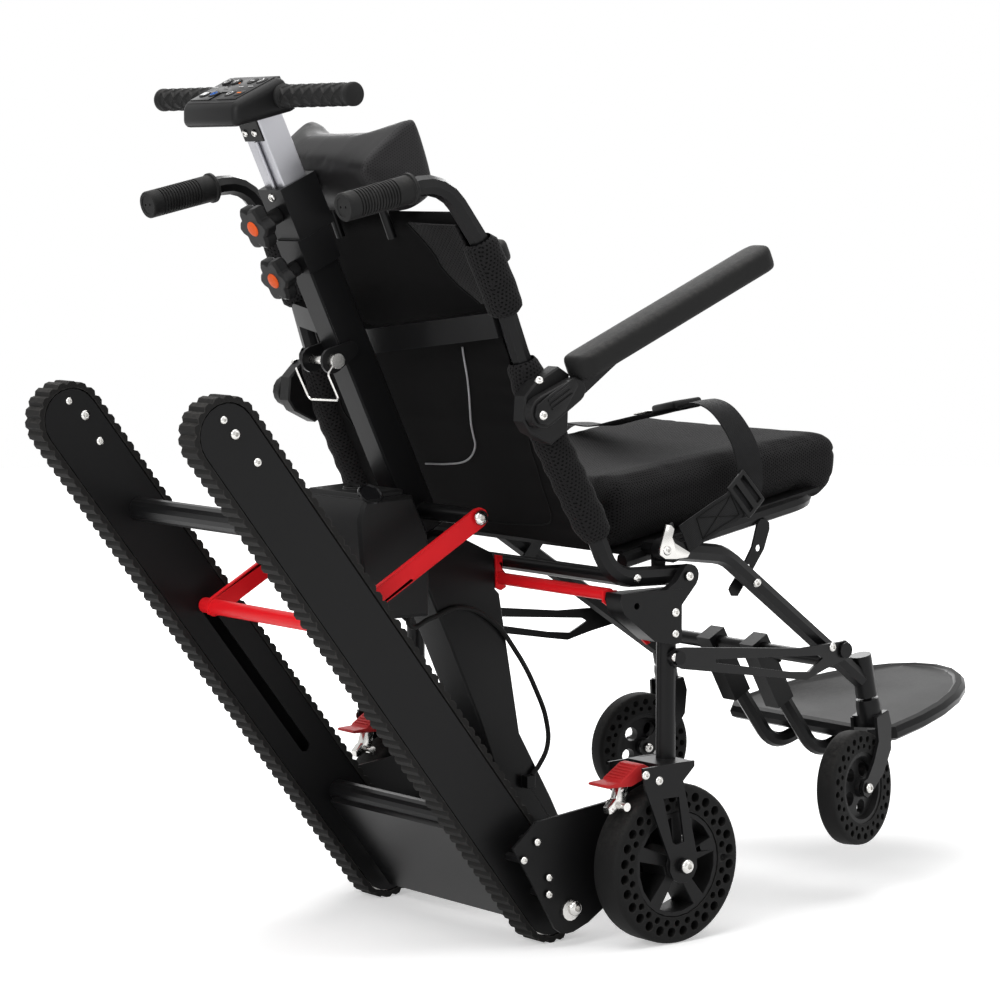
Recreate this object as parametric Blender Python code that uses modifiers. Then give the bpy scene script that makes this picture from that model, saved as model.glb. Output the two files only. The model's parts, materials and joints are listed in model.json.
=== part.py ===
"""Tracked stair chair: a folding wheelchair with a powered crawler unit behind it.

The chair stands tipped back on its rear wheels and on the lower ends of its tracks.
+X is the occupant's left, -Y is forward, +Z is up. Every point is given in metres in the frame of
the rear axle: y = 0 on the axle, z = 0 on the floor, x = 0 on the mid-plane. At the end the whole
chair is moved so that its origin lies under the middle of its bounding box.
"""
import math

import bmesh
import bpy
from mathutils import Matrix, Vector

# Clearances between pieces that touch or turn in one another
CLEARANCE = 0.0003
PLATE_THICKNESS = 0.0035

# Rear wheels
REAR_WHEEL_RADIUS = 0.100
REAR_WHEEL_WIDTH = 0.046
REAR_WHEEL_X = 0.268
REAR_TYRE_INNER_RADIUS = 0.066
REAR_HUB_RADIUS = 0.017
AXLE_TUBE_RADIUS = 0.014
AXLE_BOLT_RADIUS = 0.006
TYRE_HOLES = 20
WHEEL_SIDES = 24

# Fork plates either side of each rear wheel, and the post that stands on them
FORK_INNER_X = 0.2335
FORK_OUTER_X = 0.3020
POST_X = 0.262
POST_Y = -0.004
POST_RADIUS = 0.0125
FORK_TOP_Z = 0.2295
POST_TOP_Z = 0.4360

# Folding linkage, as (y, z): back on post, leg on back, link on leg, link on post
BACK_PIVOT = (-0.030, 0.456)
LEG_PIVOT = (-0.017, 0.486)
LINK_FRONT_PIVOT = (-0.328, 0.334)
LINK_REAR_PIVOT = (-0.006, 0.356)
PIN_RADIUS = 0.004
LINK_BOLT_RADIUS = 0.003
LINK_BOLT_PLAY = 0.0042

# Tubes of the chair frame
FRAME_TUBE_RADIUS = 0.0125
LEG_REAR_X = 0.250
LEG_SPLAY = 0.11
FRONT_TUBE_AT = (-0.350, 0.3135)
RUNG_RADIUS = 0.010

# Casters
CASTER_WHEEL_RADIUS = 0.075
CASTER_WHEEL_WIDTH = 0.028
CASTER_TRAIL = 0.0645
CASTER_HUB_DROP = 0.1050
CASTER_RAKE = 12.5
HEAD_TUBE_RADIUS = 0.0145
HEAD_TUBE_LENGTH = 0.057
HEAD_TUBE_AT = (-0.392, 0.292)
CASTER_SWIVEL = {"right": 16.0, "left": -5.0}
CASTER_HOLES = 14

# Crawler unit
TRACK_AXLE_AT = (0.119, 0.047)
TRACK_ANGLE = 52.0
TRACK_CENTRE_DISTANCE = 0.767
TRACK_X = 0.174
TRACK_FRAME_HALF_WIDTH = 0.0155
TRACK_FRAME_RADIUS = 0.0375
BELT_INNER_RADIUS = 0.0390
BELT_ROOT_RADIUS = 0.0435
BELT_OUTER_RADIUS = 0.0470
BELT_WIDTH = 0.034
BELT_LUGS = 122
UPPER_TUBE_ALONG = 0.618
LOWER_TUBE_ALONG = 0.131
SLOT_START, SLOT_END = 0.212, 0.462
SLOT_HALF_WIDTH = 0.0075
MOUNT_PLATE_X = 0.2195
RED_TUBE_ALONG = 0.460
RED_ARM_X = 0.132
RED_ARM_PIVOT = (0.190, 0.530)
RED_TUBE_RADIUS = 0.010

# Control column, its socket and the sliding handle
COLUMN_FOOT_AT = (0.222, 0.543)
COLUMN_LEAN = 25.3
COLUMN_WIDTH = 0.040
COLUMN_FRONT, COLUMN_REAR = -0.043, 0.002
COLUMN_BOTTOM = -0.055
SOCKET_LOW, SOCKET_HIGH = 0.361, 0.429
HANDLE_HALF_WIDTH = 0.0210
HANDLE_FRONT, HANDLE_REAR = -0.0440, -0.0078
CONTROL_BOX = ((0.0449, 0.5333), (0.0327, 0.5590), (-0.0420, 0.5590), (-0.0450, 0.5145))
CONTROL_BOX_HALF_WIDTH = 0.0565
HANDLE_BAR_AT = (-0.0293, 0.5381)
HANDLE_BAR_HALF_LENGTH = 0.209

# Back and arms
BACK_TUBE_FOOT_X = 0.250
BACK_TUBE_TOP_X = 0.213
BOLSTER_RADIUS = 0.0205
ARM_X = 0.268
ARM_PIVOT = (0.1985, 0.667)

# Seat
SEAT_HALF_WIDTH = 0.205
SEAT_SLOPE = 0.1885


def side(x, point):
    """A point of the side view, given as (y, z), at the distance x from the mid-plane."""
    return Vector((x, point[0], point[1]))


def clear_scene():
    for thing in list(bpy.data.objects):
        bpy.data.objects.remove(thing, do_unlink=True)


def make_collection(name):
    collection = bpy.data.collections.new(name)
    bpy.context.scene.collection.children.link(collection)
    return collection


def make_material(name, colour, roughness, metallic=0.0):
    material = bpy.data.materials.new(name)
    material.use_nodes = True
    shader = material.node_tree.nodes["Principled BSDF"]
    shader.inputs["Base Color"].default_value = (*colour, 1.0)
    shader.inputs["Roughness"].default_value = roughness
    shader.inputs["Metallic"].default_value = metallic
    return material


clear_scene()
PARTS = make_collection("tracked_stair_chair")

BLACK_PAINT = make_material("black_paint", (0.015, 0.014, 0.015), 0.45)
RED_PAINT = make_material("red_paint", (0.70, 0.02, 0.025), 0.35)
RUBBER = make_material("black_rubber", (0.02, 0.02, 0.02), 0.75)
PLASTIC = make_material("black_plastic", (0.02, 0.02, 0.021), 0.5)
RED_PLASTIC = make_material("red_plastic", (0.60, 0.03, 0.03), 0.5)
FABRIC = make_material("black_fabric", (0.012, 0.012, 0.012), 0.9)
LEATHER = make_material("black_leatherette", (0.03, 0.03, 0.03), 0.5)
STEEL = make_material("bright_steel", (0.62, 0.62, 0.62), 0.25, 1.0)
ALUMINIUM = make_material("satin_aluminium", (0.70, 0.70, 0.72), 0.35, 1.0)


def adopt_mesh(name, mesh, material, smooth_angle=40.0):
    """Weld a mesh, turn its faces outward and link it as one named part."""
    shaper = bmesh.new()
    shaper.from_mesh(mesh)
    bmesh.ops.remove_doubles(shaper, verts=shaper.verts, dist=0.00002)
    bmesh.ops.recalc_face_normals(shaper, faces=shaper.faces)
    shaper.to_mesh(mesh)
    shaper.free()
    mesh.materials.clear()
    if material is not None:
        mesh.materials.append(material)
    mesh.shade_smooth()
    mesh.set_sharp_from_angle(angle=math.radians(smooth_angle))
    mesh.name = name
    part = bpy.data.objects.new(name, mesh)
    PARTS.objects.link(part)
    return part


def bake(temporary, name, material):
    """Turn a curve or an object with modifiers into a plain mesh part."""
    bpy.context.scene.collection.objects.link(temporary)
    bpy.context.view_layer.update()
    evaluated = temporary.evaluated_get(bpy.context.evaluated_depsgraph_get())
    mesh = bpy.data.meshes.new_from_object(evaluated)
    mesh.transform(temporary.matrix_world)
    bpy.data.objects.remove(temporary, do_unlink=True)
    return adopt_mesh(name, mesh, material)


def cylinder(name, start, end, radius, material, sides=20, end_radius=None):
    start, end = Vector(start), Vector(end)
    along = end - start
    shaper = bmesh.new()
    bmesh.ops.create_cone(
        shaper, cap_ends=True, segments=sides, radius1=radius,
        radius2=radius if end_radius is None else end_radius, depth=along.length,
        matrix=Matrix.Translation((start + end) / 2) @ along.to_track_quat("Z", "Y").to_matrix().to_4x4())
    mesh = bpy.data.meshes.new(name)
    shaper.to_mesh(mesh)
    shaper.free()
    return adopt_mesh(name, mesh, material)


def box(name, low, high, material, frame=None, bevel=0.0, bevel_steps=2):
    """A box between two corners, in the axes of a frame, with rounded edges."""
    low, high = Vector(low), Vector(high)
    size = high - low
    shaper = bmesh.new()
    bmesh.ops.create_cube(shaper, size=1.0, matrix=Matrix.Translation((low + high) / 2) @ Matrix.Diagonal((*size, 1.0)))
    if bevel:
        bmesh.ops.bevel(shaper, geom=shaper.edges[:], offset=bevel, segments=bevel_steps, affect="EDGES", profile=0.5)
    mesh = bpy.data.meshes.new(name)
    shaper.to_mesh(mesh)
    shaper.free()
    if frame is not None:
        mesh.transform(frame)
    return adopt_mesh(name, mesh, material)


# A flat outline is drawn in local X and Y and thickened along local Z: this turns it into the side view
SIDE_VIEW = Matrix(((0, 0, 1, 0), (1, 0, 0, 0), (0, 1, 0, 0), (0, 0, 0, 1)))


def plate(name, outline, x_low, x_high, material, holes=(), frame=None, view=SIDE_VIEW):
    """A flat piece: a side-view outline with holes, thickened from x_low to x_high."""
    x_low, x_high = min(x_low, x_high), max(x_low, x_high)
    curve = bpy.data.curves.new(name, "CURVE")
    curve.dimensions = "2D"
    curve.fill_mode = "BOTH"
    curve.extrude = (x_high - x_low) / 2
    for loop in (outline, *holes):
        spline = curve.splines.new("POLY")
        spline.points.add(len(loop) - 1)
        for control, (a, b) in zip(spline.points, loop):
            control.co = (a, b, 0.0, 1.0)
        spline.use_cyclic_u = True
    holder = bpy.data.objects.new(name, curve)
    part = bake(holder, name, material)
    part.data.transform(Matrix.Translation((0, 0, (x_low + x_high) / 2)))
    part.data.transform(view)
    if frame is not None:
        part.data.transform(frame)
    return part


def slab(name, outline, x_low, x_high, material, bevel, frame=None, view=SIDE_VIEW):
    """A flat piece without holes whose edges are bevelled."""
    x_low, x_high = min(x_low, x_high), max(x_low, x_high)
    shaper = bmesh.new()
    low = [shaper.verts.new((a, b, x_low)) for a, b in outline]
    high = [shaper.verts.new((a, b, x_high)) for a, b in outline]
    caps = [shaper.faces.new(low), shaper.faces.new(high)]
    rims = list({edge for cap in caps for edge in cap.edges})
    for i in range(len(outline)):
        j = (i + 1) % len(outline)
        shaper.faces.new((low[i], low[j], high[j], high[i]))
    bmesh.ops.recalc_face_normals(shaper, faces=shaper.faces)
    bmesh.ops.bevel(shaper, geom=rims, offset=bevel, segments=1, affect="EDGES")
    mesh = bpy.data.meshes.new(name)
    shaper.to_mesh(mesh)
    shaper.free()
    mesh.transform(view if frame is None else frame @ view)
    return adopt_mesh(name, mesh, material)


def circle(centre, radius, count=12, start=0.0):
    return [(centre[0] + radius * math.cos(start + i * math.tau / count),
             centre[1] + radius * math.sin(start + i * math.tau / count)) for i in range(count)]


def arc(centre, radius, first, last, count):
    """Points on an arc, with its angles in degrees."""
    angles = [math.radians(first + (last - first) * i / (count - 1)) for i in range(count)]
    return [(centre[0] + radius * math.cos(a), centre[1] + radius * math.sin(a)) for a in angles]


def hull_outline(first, first_radius, second, second_radius, count=9):
    """The outline of a strap round two circles."""
    dy, dz = second[0] - first[0], second[1] - first[1]
    distance = math.hypot(dy, dz)
    along = math.degrees(math.atan2(dz, dy))
    lean = math.degrees(math.acos((first_radius - second_radius) / distance))
    return (arc(first, first_radius, along + lean, along + 360 - lean, count)
            + arc(second, second_radius, along - lean, along + lean, count))


def rounded_path(points, bend, steps=5):
    """A path through its corner points, each corner turned by an arc of the radius bend."""
    points = [Vector(p) for p in points]
    path = [points[0]]
    for before, corner, after in zip(points, points[1:], points[2:]):
        back, ahead = (before - corner).normalized(), (after - corner).normalized()
        turn = math.pi - back.angle(ahead)
        if turn < 0.16:
            path.append(corner)
            continue
        reach = min(bend * math.tan(turn / 2), 0.48 * (before - corner).length, 0.48 * (after - corner).length)
        radius = reach / math.tan(turn / 2)
        centre = corner + (back + ahead).normalized() * (radius / math.cos(turn / 2))
        start, end = corner + back * reach - centre, corner + ahead * reach - centre
        count = max(2, math.ceil(steps * turn / 1.2))
        for i in range(count + 1):
            path.append(centre + start.slerp(end, i / count).normalized() * radius)
    path.append(points[-1])
    return path


def tube(name, points, radius, material, bend=0.04, roundness=2, steps=4, ring=False):
    """A bent tube through its corner points, or a closed ring of tube."""
    path = rounded_path(points, bend, steps) if bend else [Vector(p) for p in points]
    curve = bpy.data.curves.new(name, "CURVE")
    curve.dimensions = "3D"
    curve.bevel_depth = radius
    curve.bevel_resolution = roundness
    curve.use_fill_caps = not ring
    spline = curve.splines.new("POLY")
    spline.use_cyclic_u = ring
    spline.points.add(len(path) - 1)
    for control, point in zip(spline.points, path):
        control.co = (*point, 1.0)
    return bake(bpy.data.objects.new(name, curve), name, material)


def turned(name, profile, material, frame, steps=32, closed=True):
    """A turned piece: a profile of (radius, height) spun round the local Z axis of a frame."""
    mesh = bpy.data.meshes.new(name)
    count = len(profile)
    edges = [(i, i + 1) for i in range(count - 1)]
    if closed:
        edges.append((count - 1, 0))
    mesh.from_pydata([(r, 0.0, h) for r, h in profile], edges, [])
    holder = bpy.data.objects.new(name, mesh)
    screw = holder.modifiers.new("spin", "SCREW")
    screw.steps = screw.render_steps = steps
    screw.use_merge_vertices = True
    screw.merge_threshold = 0.00001
    part = bake(holder, name, material)
    part.data.transform(frame)
    return part


def boolean(part, others, operation):
    for other in others:
        modifier = part.modifiers.new(operation.lower(), "BOOLEAN")
        modifier.operation = operation
        modifier.solver = "EXACT"
        modifier.object = other
        bpy.context.view_layer.update()
        evaluated = part.evaluated_get(bpy.context.evaluated_depsgraph_get())
        mesh = bpy.data.meshes.new_from_object(evaluated)
        part.modifiers.clear()
        old = part.data
        part.data = mesh
        bpy.data.meshes.remove(old)
        bpy.data.objects.remove(other, do_unlink=True)
    shaper = bmesh.new()
    shaper.from_mesh(part.data)
    bmesh.ops.dissolve_limit(shaper, angle_limit=math.radians(0.2), verts=shaper.verts[:], edges=shaper.edges[:],
                             use_dissolve_boundaries=False)
    bmesh.ops.dissolve_degenerate(shaper, edges=shaper.edges[:], dist=0.000005)
    bmesh.ops.remove_doubles(shaper, verts=shaper.verts, dist=0.000005)
    shaper.to_mesh(part.data)
    shaper.free()
    part.data.shade_smooth()
    part.data.set_sharp_from_angle(angle=math.radians(40.0))
    return part


def fuse(part, *others):
    return boolean(part, others, "UNION")


def cut(part, *cutters):
    return boolean(part, cutters, "DIFFERENCE")


def bore(start, end, radius, sides=16):
    """A cutter for a hole whose flats stand a radius off its axis, longer than the hole at both ends."""
    start, end = Vector(start), Vector(end)
    past = (end - start).normalized() * 0.002
    return cylinder("bore", start - past, end + past, radius / math.cos(math.pi / sides), None, sides)


def hole(centre, radius, count=10):
    """The outline of a hole whose flats stand a radius off its centre."""
    return circle(centre, radius / math.cos(math.pi / count), count)


def loft(name, rings, material):
    """A closed piece through rings of points, with flat ends."""
    shaper = bmesh.new()
    loops = [[shaper.verts.new(point) for point in ring] for ring in rings]
    for one, two in zip(loops, loops[1:]):
        for k in range(len(one)):
            j = (k + 1) % len(one)
            shaper.faces.new([one[k], one[j], two[j], two[k]])
    shaper.faces.new(loops[0])
    shaper.faces.new(loops[-1])
    mesh = bpy.data.meshes.new(name)
    shaper.to_mesh(mesh)
    shaper.free()
    return adopt_mesh(name, mesh, material)


def cross_shaft(name, point, stations, material, steps=20):
    """A turned shaft along X: stations of (x, radius) from its left end to its right end."""
    profile = [(0.0, stations[0][0])]
    for (x, radius), (next_x, _) in zip(stations, stations[1:]):
        profile += [(radius, x), (radius, next_x)]
    profile.append((0.0, stations[-1][0]))
    turn = Matrix.Translation(side(0.0, point)) @ Matrix.Rotation(math.radians(90), 4, "Y")
    return turned(name, profile, material, turn, steps, closed=False)


def tilted(point, degrees, x=0.0):
    """A frame at a point of the side view, turned about X by an angle."""
    return Matrix.Translation(side(x, point)) @ Matrix.Rotation(math.radians(degrees), 4, "X")


def empty(name, location):
    holder = bpy.data.objects.new(name, None)
    holder.empty_display_size = 0.03
    holder.location = location
    PARTS.objects.link(holder)
    return holder


def carry(holder, *parts):
    """Give parts the joint empty as their parent and leave them where they are."""
    bpy.context.view_layer.update()
    for part in parts:
        part.parent = holder
        part.matrix_parent_inverse = holder.matrix_world.inverted()


TRACK = tilted(TRACK_AXLE_AT, TRACK_ANGLE)
COLUMN = tilted(COLUMN_FOOT_AT, -COLUMN_LEAN)
AXLE_AT = (0.0, REAR_WHEEL_RADIUS)
SIDES = (("right", -1), ("left", 1))


def leg_x(y):
    """Half the distance between the splayed front legs at a place along them."""
    return LEG_REAR_X + LEG_SPLAY * y


# Chassis

def make_rear_axle():
    """The cross axle: a tube between the forks with a bolt through each wheel."""
    shoulder = FORK_INNER_X - CLEARANCE
    bolt_end = FORK_OUTER_X + CLEARANCE
    return cross_shaft("rear_axle", AXLE_AT, steps=14, stations=[
        (-bolt_end - 0.006, 0.0095), (-bolt_end, AXLE_BOLT_RADIUS), (-shoulder, AXLE_TUBE_RADIUS),
        (shoulder, AXLE_BOLT_RADIUS), (bolt_end, 0.0095), (bolt_end + 0.006, 0.0095)], material=BLACK_PAINT)


def make_post(name, s):
    """Fork plates, their top plate, the post and the casting that carries the back pivot."""
    hub = AXLE_AT
    outline = ([(0.066, FORK_TOP_Z - 0.002), (0.009, FORK_TOP_Z), (-0.017, FORK_TOP_Z), (-0.017, 0.2225),
                (0.001, 0.206), (-0.021, 0.115)]
               + arc(hub, 0.0225, 160, 380, 8) + [(0.030, 0.128), (0.061, 0.200)])
    slot = [(0.033, 0.187), (0.008, 0.187), (-0.001, 0.130), (0.012, 0.127), (0.018, 0.131)]
    bolt_hole = hole(hub, AXLE_BOLT_RADIUS + CLEARANCE)
    fork = plate(name, outline, s * FORK_OUTER_X, s * (FORK_OUTER_X - PLATE_THICKNESS), BLACK_PAINT,
                 (slot, bolt_hole))
    inner = plate("inner", outline, s * FORK_INNER_X, s * (FORK_INNER_X + PLATE_THICKNESS), BLACK_PAINT,
                  (slot, bolt_hole))
    top_low, top_high = FORK_INNER_X + 0.001, FORK_OUTER_X - 0.001
    top = plate("top", [(-0.0165, 0.2225), (0.036, 0.2225), (0.036, FORK_TOP_Z - 0.0005),
                        (-0.0165, FORK_TOP_Z - 0.0005)], s * top_low, s * top_high, BLACK_PAINT)
    post = cylinder("post", (s * POST_X, POST_Y, 0.226), (s * POST_X, POST_Y, POST_TOP_Z),
                    POST_RADIUS, BLACK_PAINT, 14)
    cheek = [(0.080, 0.4405), (0.082, 0.432), (0.076, 0.415), (0.027, 0.378), (POST_Y, 0.372),
             (-0.0165, 0.373), (-0.0165, 0.4405)]
    casting = plate("casting", cheek, s * 0.2470, s * 0.2775, BLACK_PAINT, (circle((0.056, 0.424), 0.0045, 8),))
    ear = ([(0.010, 0.4395), (-0.0120, 0.4200), (-0.0165, 0.4200), (-0.0400, 0.4450)]
           + arc(BACK_PIVOT, 0.0140, 200, 50, 7) + [(-0.008, 0.4500)])
    cheek_plate = plate("ear", ear, s * 0.2665, s * 0.2772, BLACK_PAINT)
    pin = cylinder("pin", side(s * 0.2390, BACK_PIVOT), side(s * 0.2795, BACK_PIVOT), PIN_RADIUS, BLACK_PAINT, 10)
    link_pin = cylinder("link_pin", side(s * 0.2700, LINK_REAR_PIVOT), side(s * 0.2850, LINK_REAR_PIVOT),
                        0.005, BLACK_PAINT, 10)
    collar = cylinder("collar", side(s * 0.2700, LINK_REAR_PIVOT), side(s * 0.2770, LINK_REAR_PIVOT),
                      0.009, BLACK_PAINT, 12)
    head = cylinder("head", side(s * 0.2848, LINK_REAR_PIVOT), side(s * 0.2878, LINK_REAR_PIVOT),
                    0.009, BLACK_PAINT, 12)
    return fuse(fork, inner, top, post, casting, cheek_plate, pin, collar, link_pin, head)


def make_red_cross_frame():
    """The red tube between the two castings, with the brackets that hold the lower column."""
    place = (0.074, 0.437)
    reach = 0.2470 - CLEARANCE
    frame = cylinder("red_cross_frame", side(-reach, place), side(reach, place), 0.008, RED_PAINT, 12)
    for _, s in SIDES:
        bracket = plate("bracket", [(0.084, 0.4425), (0.062, 0.4415), (0.058, 0.430), (0.008, 0.372),
                                    (0.014, 0.370), (0.072, 0.420), (0.084, 0.428)],
                        s * (reach - 0.003), s * reach, RED_PAINT)
        column_lug = plate("lug", [(0.0830, 0.468), (0.0722, 0.466), (0.0722, 0.449), (0.0665, 0.443),
                                   (0.0665, 0.425), (0.0745, 0.4215), (0.0830, 0.4255)],
                           s * 0.0260, s * 0.0295, RED_PAINT)
        fuse(frame, bracket, column_lug)
    return frame


def make_lower_column():
    """The pressed leg from the cross axle to the control column, with a clip for the cable."""
    foot = AXLE_AT
    outline = ([(0.0865, 0.4700), (0.0834, 0.4500), (0.0834, 0.4245), (0.0767, 0.4180), (0.0440, 0.2350),
                (-0.0080, 0.1450)] + arc(foot, 0.0300, 130, 300, 8)
               + [(0.0480, 0.1000), (0.0750, 0.1700), (0.1070, 0.2520), (0.1570, 0.3620), (0.1950, 0.4400),
                  (0.2165, 0.4845), (0.1839, 0.4998), (0.1500, 0.5000)])
    column = slab("lower_column", outline, -0.030, 0.030, BLACK_PAINT, 0.002)
    clip = box("clip", (-0.0420, 0.0280, 0.1640), (-0.0290, 0.0420, 0.1800), BLACK_PAINT)
    fuse(column, clip)
    return cut(column, bore(side(-0.030, foot), side(0.030, foot), AXLE_TUBE_RADIUS + CLEARANCE, 18))


def make_column():
    """The square control column with its clamp collar, socket, pin ears and red-arm pivot tube."""
    half = COLUMN_WIDTH / 2
    column = box("column_tube", (-half, COLUMN_FRONT, COLUMN_BOTTOM + CLEARANCE), (half, COLUMN_REAR, 0.364),
                 BLACK_PAINT, COLUMN, 0.002, 1)
    collar = box("collar", (-0.0240, COLUMN_FRONT - 0.002, 0.318), (0.0240, 0.0050, 0.3625), BLACK_PAINT, COLUMN)
    socket = box("socket", (-0.0245, -0.0540, SOCKET_LOW), (0.0245, 0.0010, SOCKET_HIGH), BLACK_PAINT, COLUMN)
    stay = box("stay", (-0.0120, 0.0010, -0.030), (0.0120, 0.0132, 0.012), BLACK_PAINT, COLUMN)
    gap, reach = CLEARANCE, HANDLE_HALF_WIDTH + CLEARANCE
    pocket = box("pocket", (-reach, HANDLE_FRONT - gap, 0.368), (reach, HANDLE_REAR + gap, 0.440), None, COLUMN)
    groove = box("groove", (-0.0065, -0.0090, 0.3850), (0.0005, -0.0022, 0.440), None, COLUMN)
    fuse(column, collar, socket, stay)
    cut(column, pocket, groove)
    pin_at = COLUMN @ Vector((0.0, 0.0210, 0.2083))
    for _, s in SIDES:
        ear = plate("ear", hull_outline((-0.010, 0.2083), 0.010, (0.0210, 0.2083), 0.0160), s * 0.0195, s * 0.0240,
                    BLACK_PAINT, (hole((0.0210, 0.2083), 0.0053),), COLUMN)
        fuse(column, ear)
    pivot_half = RED_ARM_X - CLEARANCE
    pivot = cross_shaft("pivot", RED_ARM_PIVOT, [
        (-0.1410, 0.0095), (-0.1378, 0.0050), (-pivot_half, 0.011), (pivot_half, 0.0050), (0.1378, 0.0095),
        (0.1410, 0.0095)], BLACK_PAINT, 12)
    return fuse(column, pivot), pin_at


def make_battery():
    """The battery case behind the foot of the column, with its lid."""
    outline = [(0.2430, 0.5560), (0.2200, 0.5062), (0.2178, 0.4850), (0.2178, 0.4040), (0.3020, 0.4040),
               (0.3180, 0.4250), (0.3260, 0.5300), (0.3160, 0.5530)]
    case = slab("battery_box", outline, -0.072, 0.072, PLASTIC, 0.004)
    lid = slab("lid", [(0.2470, 0.5500), (0.3130, 0.5480), (0.3100, 0.5600), (0.2500, 0.5630)],
               -0.060, 0.060, PLASTIC, 0.002)
    ring = turned("ring", [(0.0165, 0.0), (0.0165, 0.004), (0.0115, 0.004), (0.0115, 0.0)], PLASTIC,
                  Matrix.Translation((0.0, 0.2790, 0.5600)), 14)
    return fuse(case, lid, ring)


CABLE_RADIUS = 0.0032
CABLE_X = -0.0345
CABLE_ROUTE = ((0.232, 0.4036), (0.232, 0.392), (0.190, 0.395), (0.142, 0.405), (0.095, 0.386), (0.055, 0.343),
               (0.022, 0.290), (0.004, 0.245), (0.003, 0.215), (0.016, 0.192), (0.0276, 0.1800))


def smooth_route(points, spacing):
    """Points at an even spacing along a smooth curve through a route."""
    points = [Vector(p) for p in points]
    padded = [2 * points[0] - points[1], *points, 2 * points[-1] - points[-2]]
    path = [points[0]]
    for a, b, c, d in zip(padded, padded[1:], padded[2:], padded[3:]):
        count = max(1, round((c - b).length / spacing))
        for i in range(1, count + 1):
            t = i / count
            path.append(0.5 * (2 * b + (c - a) * t + (2 * a - 5 * b + 4 * c - d) * t * t
                               + (3 * b - 3 * c + d - a) * t ** 3))
    return path


def make_cable():
    route = [side(CABLE_X, p) for p in CABLE_ROUTE]
    route[0].x = route[1].x = -0.046
    return tube("control_cable", smooth_route(route, 0.018), CABLE_RADIUS, RUBBER, bend=0, roundness=1)


def make_knob(name, frame, root, face):
    """A six-lobed clamp knob on its screw; the frame's Y axis is the screw."""
    lobes = []
    for i in range(6):
        middle = math.radians(60 * i)
        for offset, reach in ((-17, 0.0265), (0, 0.0300), (17, 0.0265), (30, 0.0225)):
            angle = middle + math.radians(offset)
            lobes.append((reach * math.cos(angle), reach * math.sin(angle)))
    thickness = 0.018
    knob = slab(name, lobes, face - thickness, face, PLASTIC, 0.003, frame, Matrix(
        ((1, 0, 0, 0), (0, 0, 1, 0), (0, 1, 0, 0), (0, 0, 0, 1))))
    screw = cylinder("screw", frame @ Vector((0, root, 0)), frame @ Vector((0, face - 0.010, 0)), 0.010,
                     PLASTIC, 12)
    return fuse(knob, screw)


def make_lock_pin():
    """The quick-release pin through the column's ears, with its square wire bail."""
    centre = (0.0210, 0.2083)
    start, end = Vector((0.0340, *centre)), Vector((-0.0300, *centre))
    pin = cylinder("lock_pin", COLUMN @ start, COLUMN @ end, 0.005, STEEL, 16)
    head = cylinder("head", COLUMN @ Vector((-0.0245, *centre)), COLUMN @ Vector((-0.0360, *centre)), 0.0095,
                    STEEL, 16)
    back = 0.0400
    bail = tube("bail", [COLUMN @ Vector(p) for p in (
        (-0.0330, 0.0250, 0.2083), (-0.0330, back, 0.2000), (-0.0350, back, 0.1640), (0.0300, back, 0.1620),
        (0.0320, back, 0.1950), (0.0320, back, 0.2060))], 0.0014, STEEL, bend=0.006, roundness=1, steps=3)
    return fuse(pin, head, bail)


def make_handle():
    """The aluminium handle tube, the control box on it and the cross bar with both grips."""
    (rear_y, rear_z), _, (_, top_z), (front_y, front_z) = CONTROL_BOX
    slope = (rear_z - front_z) / (rear_y - front_y)
    rear_top, front_top = (front_z + slope * (y - front_y) - CLEARANCE for y in (HANDLE_REAR, HANDLE_FRONT))
    half = HANDLE_HALF_WIDTH
    handle = slab("handle_tube", [(HANDLE_FRONT, 0.3685), (HANDLE_REAR, 0.3685), (HANDLE_REAR, rear_top),
                                  (HANDLE_FRONT, front_top)], -half, half, ALUMINIUM, 0.0015, COLUMN)
    rod = cylinder("rod", COLUMN @ Vector((-0.0030, -0.0055, 0.4000)), COLUMN @ Vector((-0.0030, -0.0055, 0.4900)),
                   0.0026, ALUMINIUM, 10)
    fuse(handle, rod)
    case = slab("control_box", list(CONTROL_BOX), -CONTROL_BOX_HALF_WIDTH, CONTROL_BOX_HALF_WIDTH, PLASTIC, 0.007,
                COLUMN)
    bracket = box("bracket", (-0.0200, HANDLE_REAR + CLEARANCE, 0.4905), (0.0200, -0.0052, 0.5280), PLASTIC, COLUMN)
    fuse(case, bracket)
    bar_at = COLUMN @ Vector((0.0, *HANDLE_BAR_AT))
    bar_radius = 0.008
    cut(case, bore(bar_at - Vector((0.060, 0, 0)), bar_at + Vector((0.060, 0, 0)), bar_radius + CLEARANCE))
    well = box("well", (-0.0078, 0.0067, top_z - 0.004), (0.0078, 0.0273, top_z + 0.002), None, COLUMN)
    cut(case, well)
    switch = box("travel_switch", (-0.0075, 0.0070, top_z - 0.0025), (0.0075, 0.0270, top_z + 0.0010), PLASTIC,
                 COLUMN, 0.001, 1)
    length = HANDLE_BAR_HALF_LENGTH
    grip_start = CONTROL_BOX_HALF_WIDTH + 0.001
    stations = [(-length, 0.0125), (-length + 0.005, 0.0143), (-length + 0.020, 0.0143), (-grip_start, bar_radius),
                (grip_start, 0.0143), (length - 0.020, 0.0143), (length - 0.005, 0.0125), (length, 0.0125)]
    bar = cross_shaft("handle_bar", (bar_at.y, bar_at.z), stations, RUBBER, 14)
    return handle, case, switch, bar


# Rear wheels and brakes

def wheel_frame(x, point):
    """A frame whose Z axis is a wheel's axle, with its X axis up."""
    return Matrix.Translation(side(x, point)) @ Matrix.Rotation(math.radians(-90), 4, "Y")


def spoke_windows(inner, outer, count, gap):
    """The openings between a wheel's spokes."""
    windows = []
    for i in range(count):
        first, last = 360 / count * i + gap, 360 / count * (i + 1) - gap
        windows.append(arc((0, 0), outer, first, last, 4) + arc((0, 0), inner, last - gap, first + gap, 2))
    return windows


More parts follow.
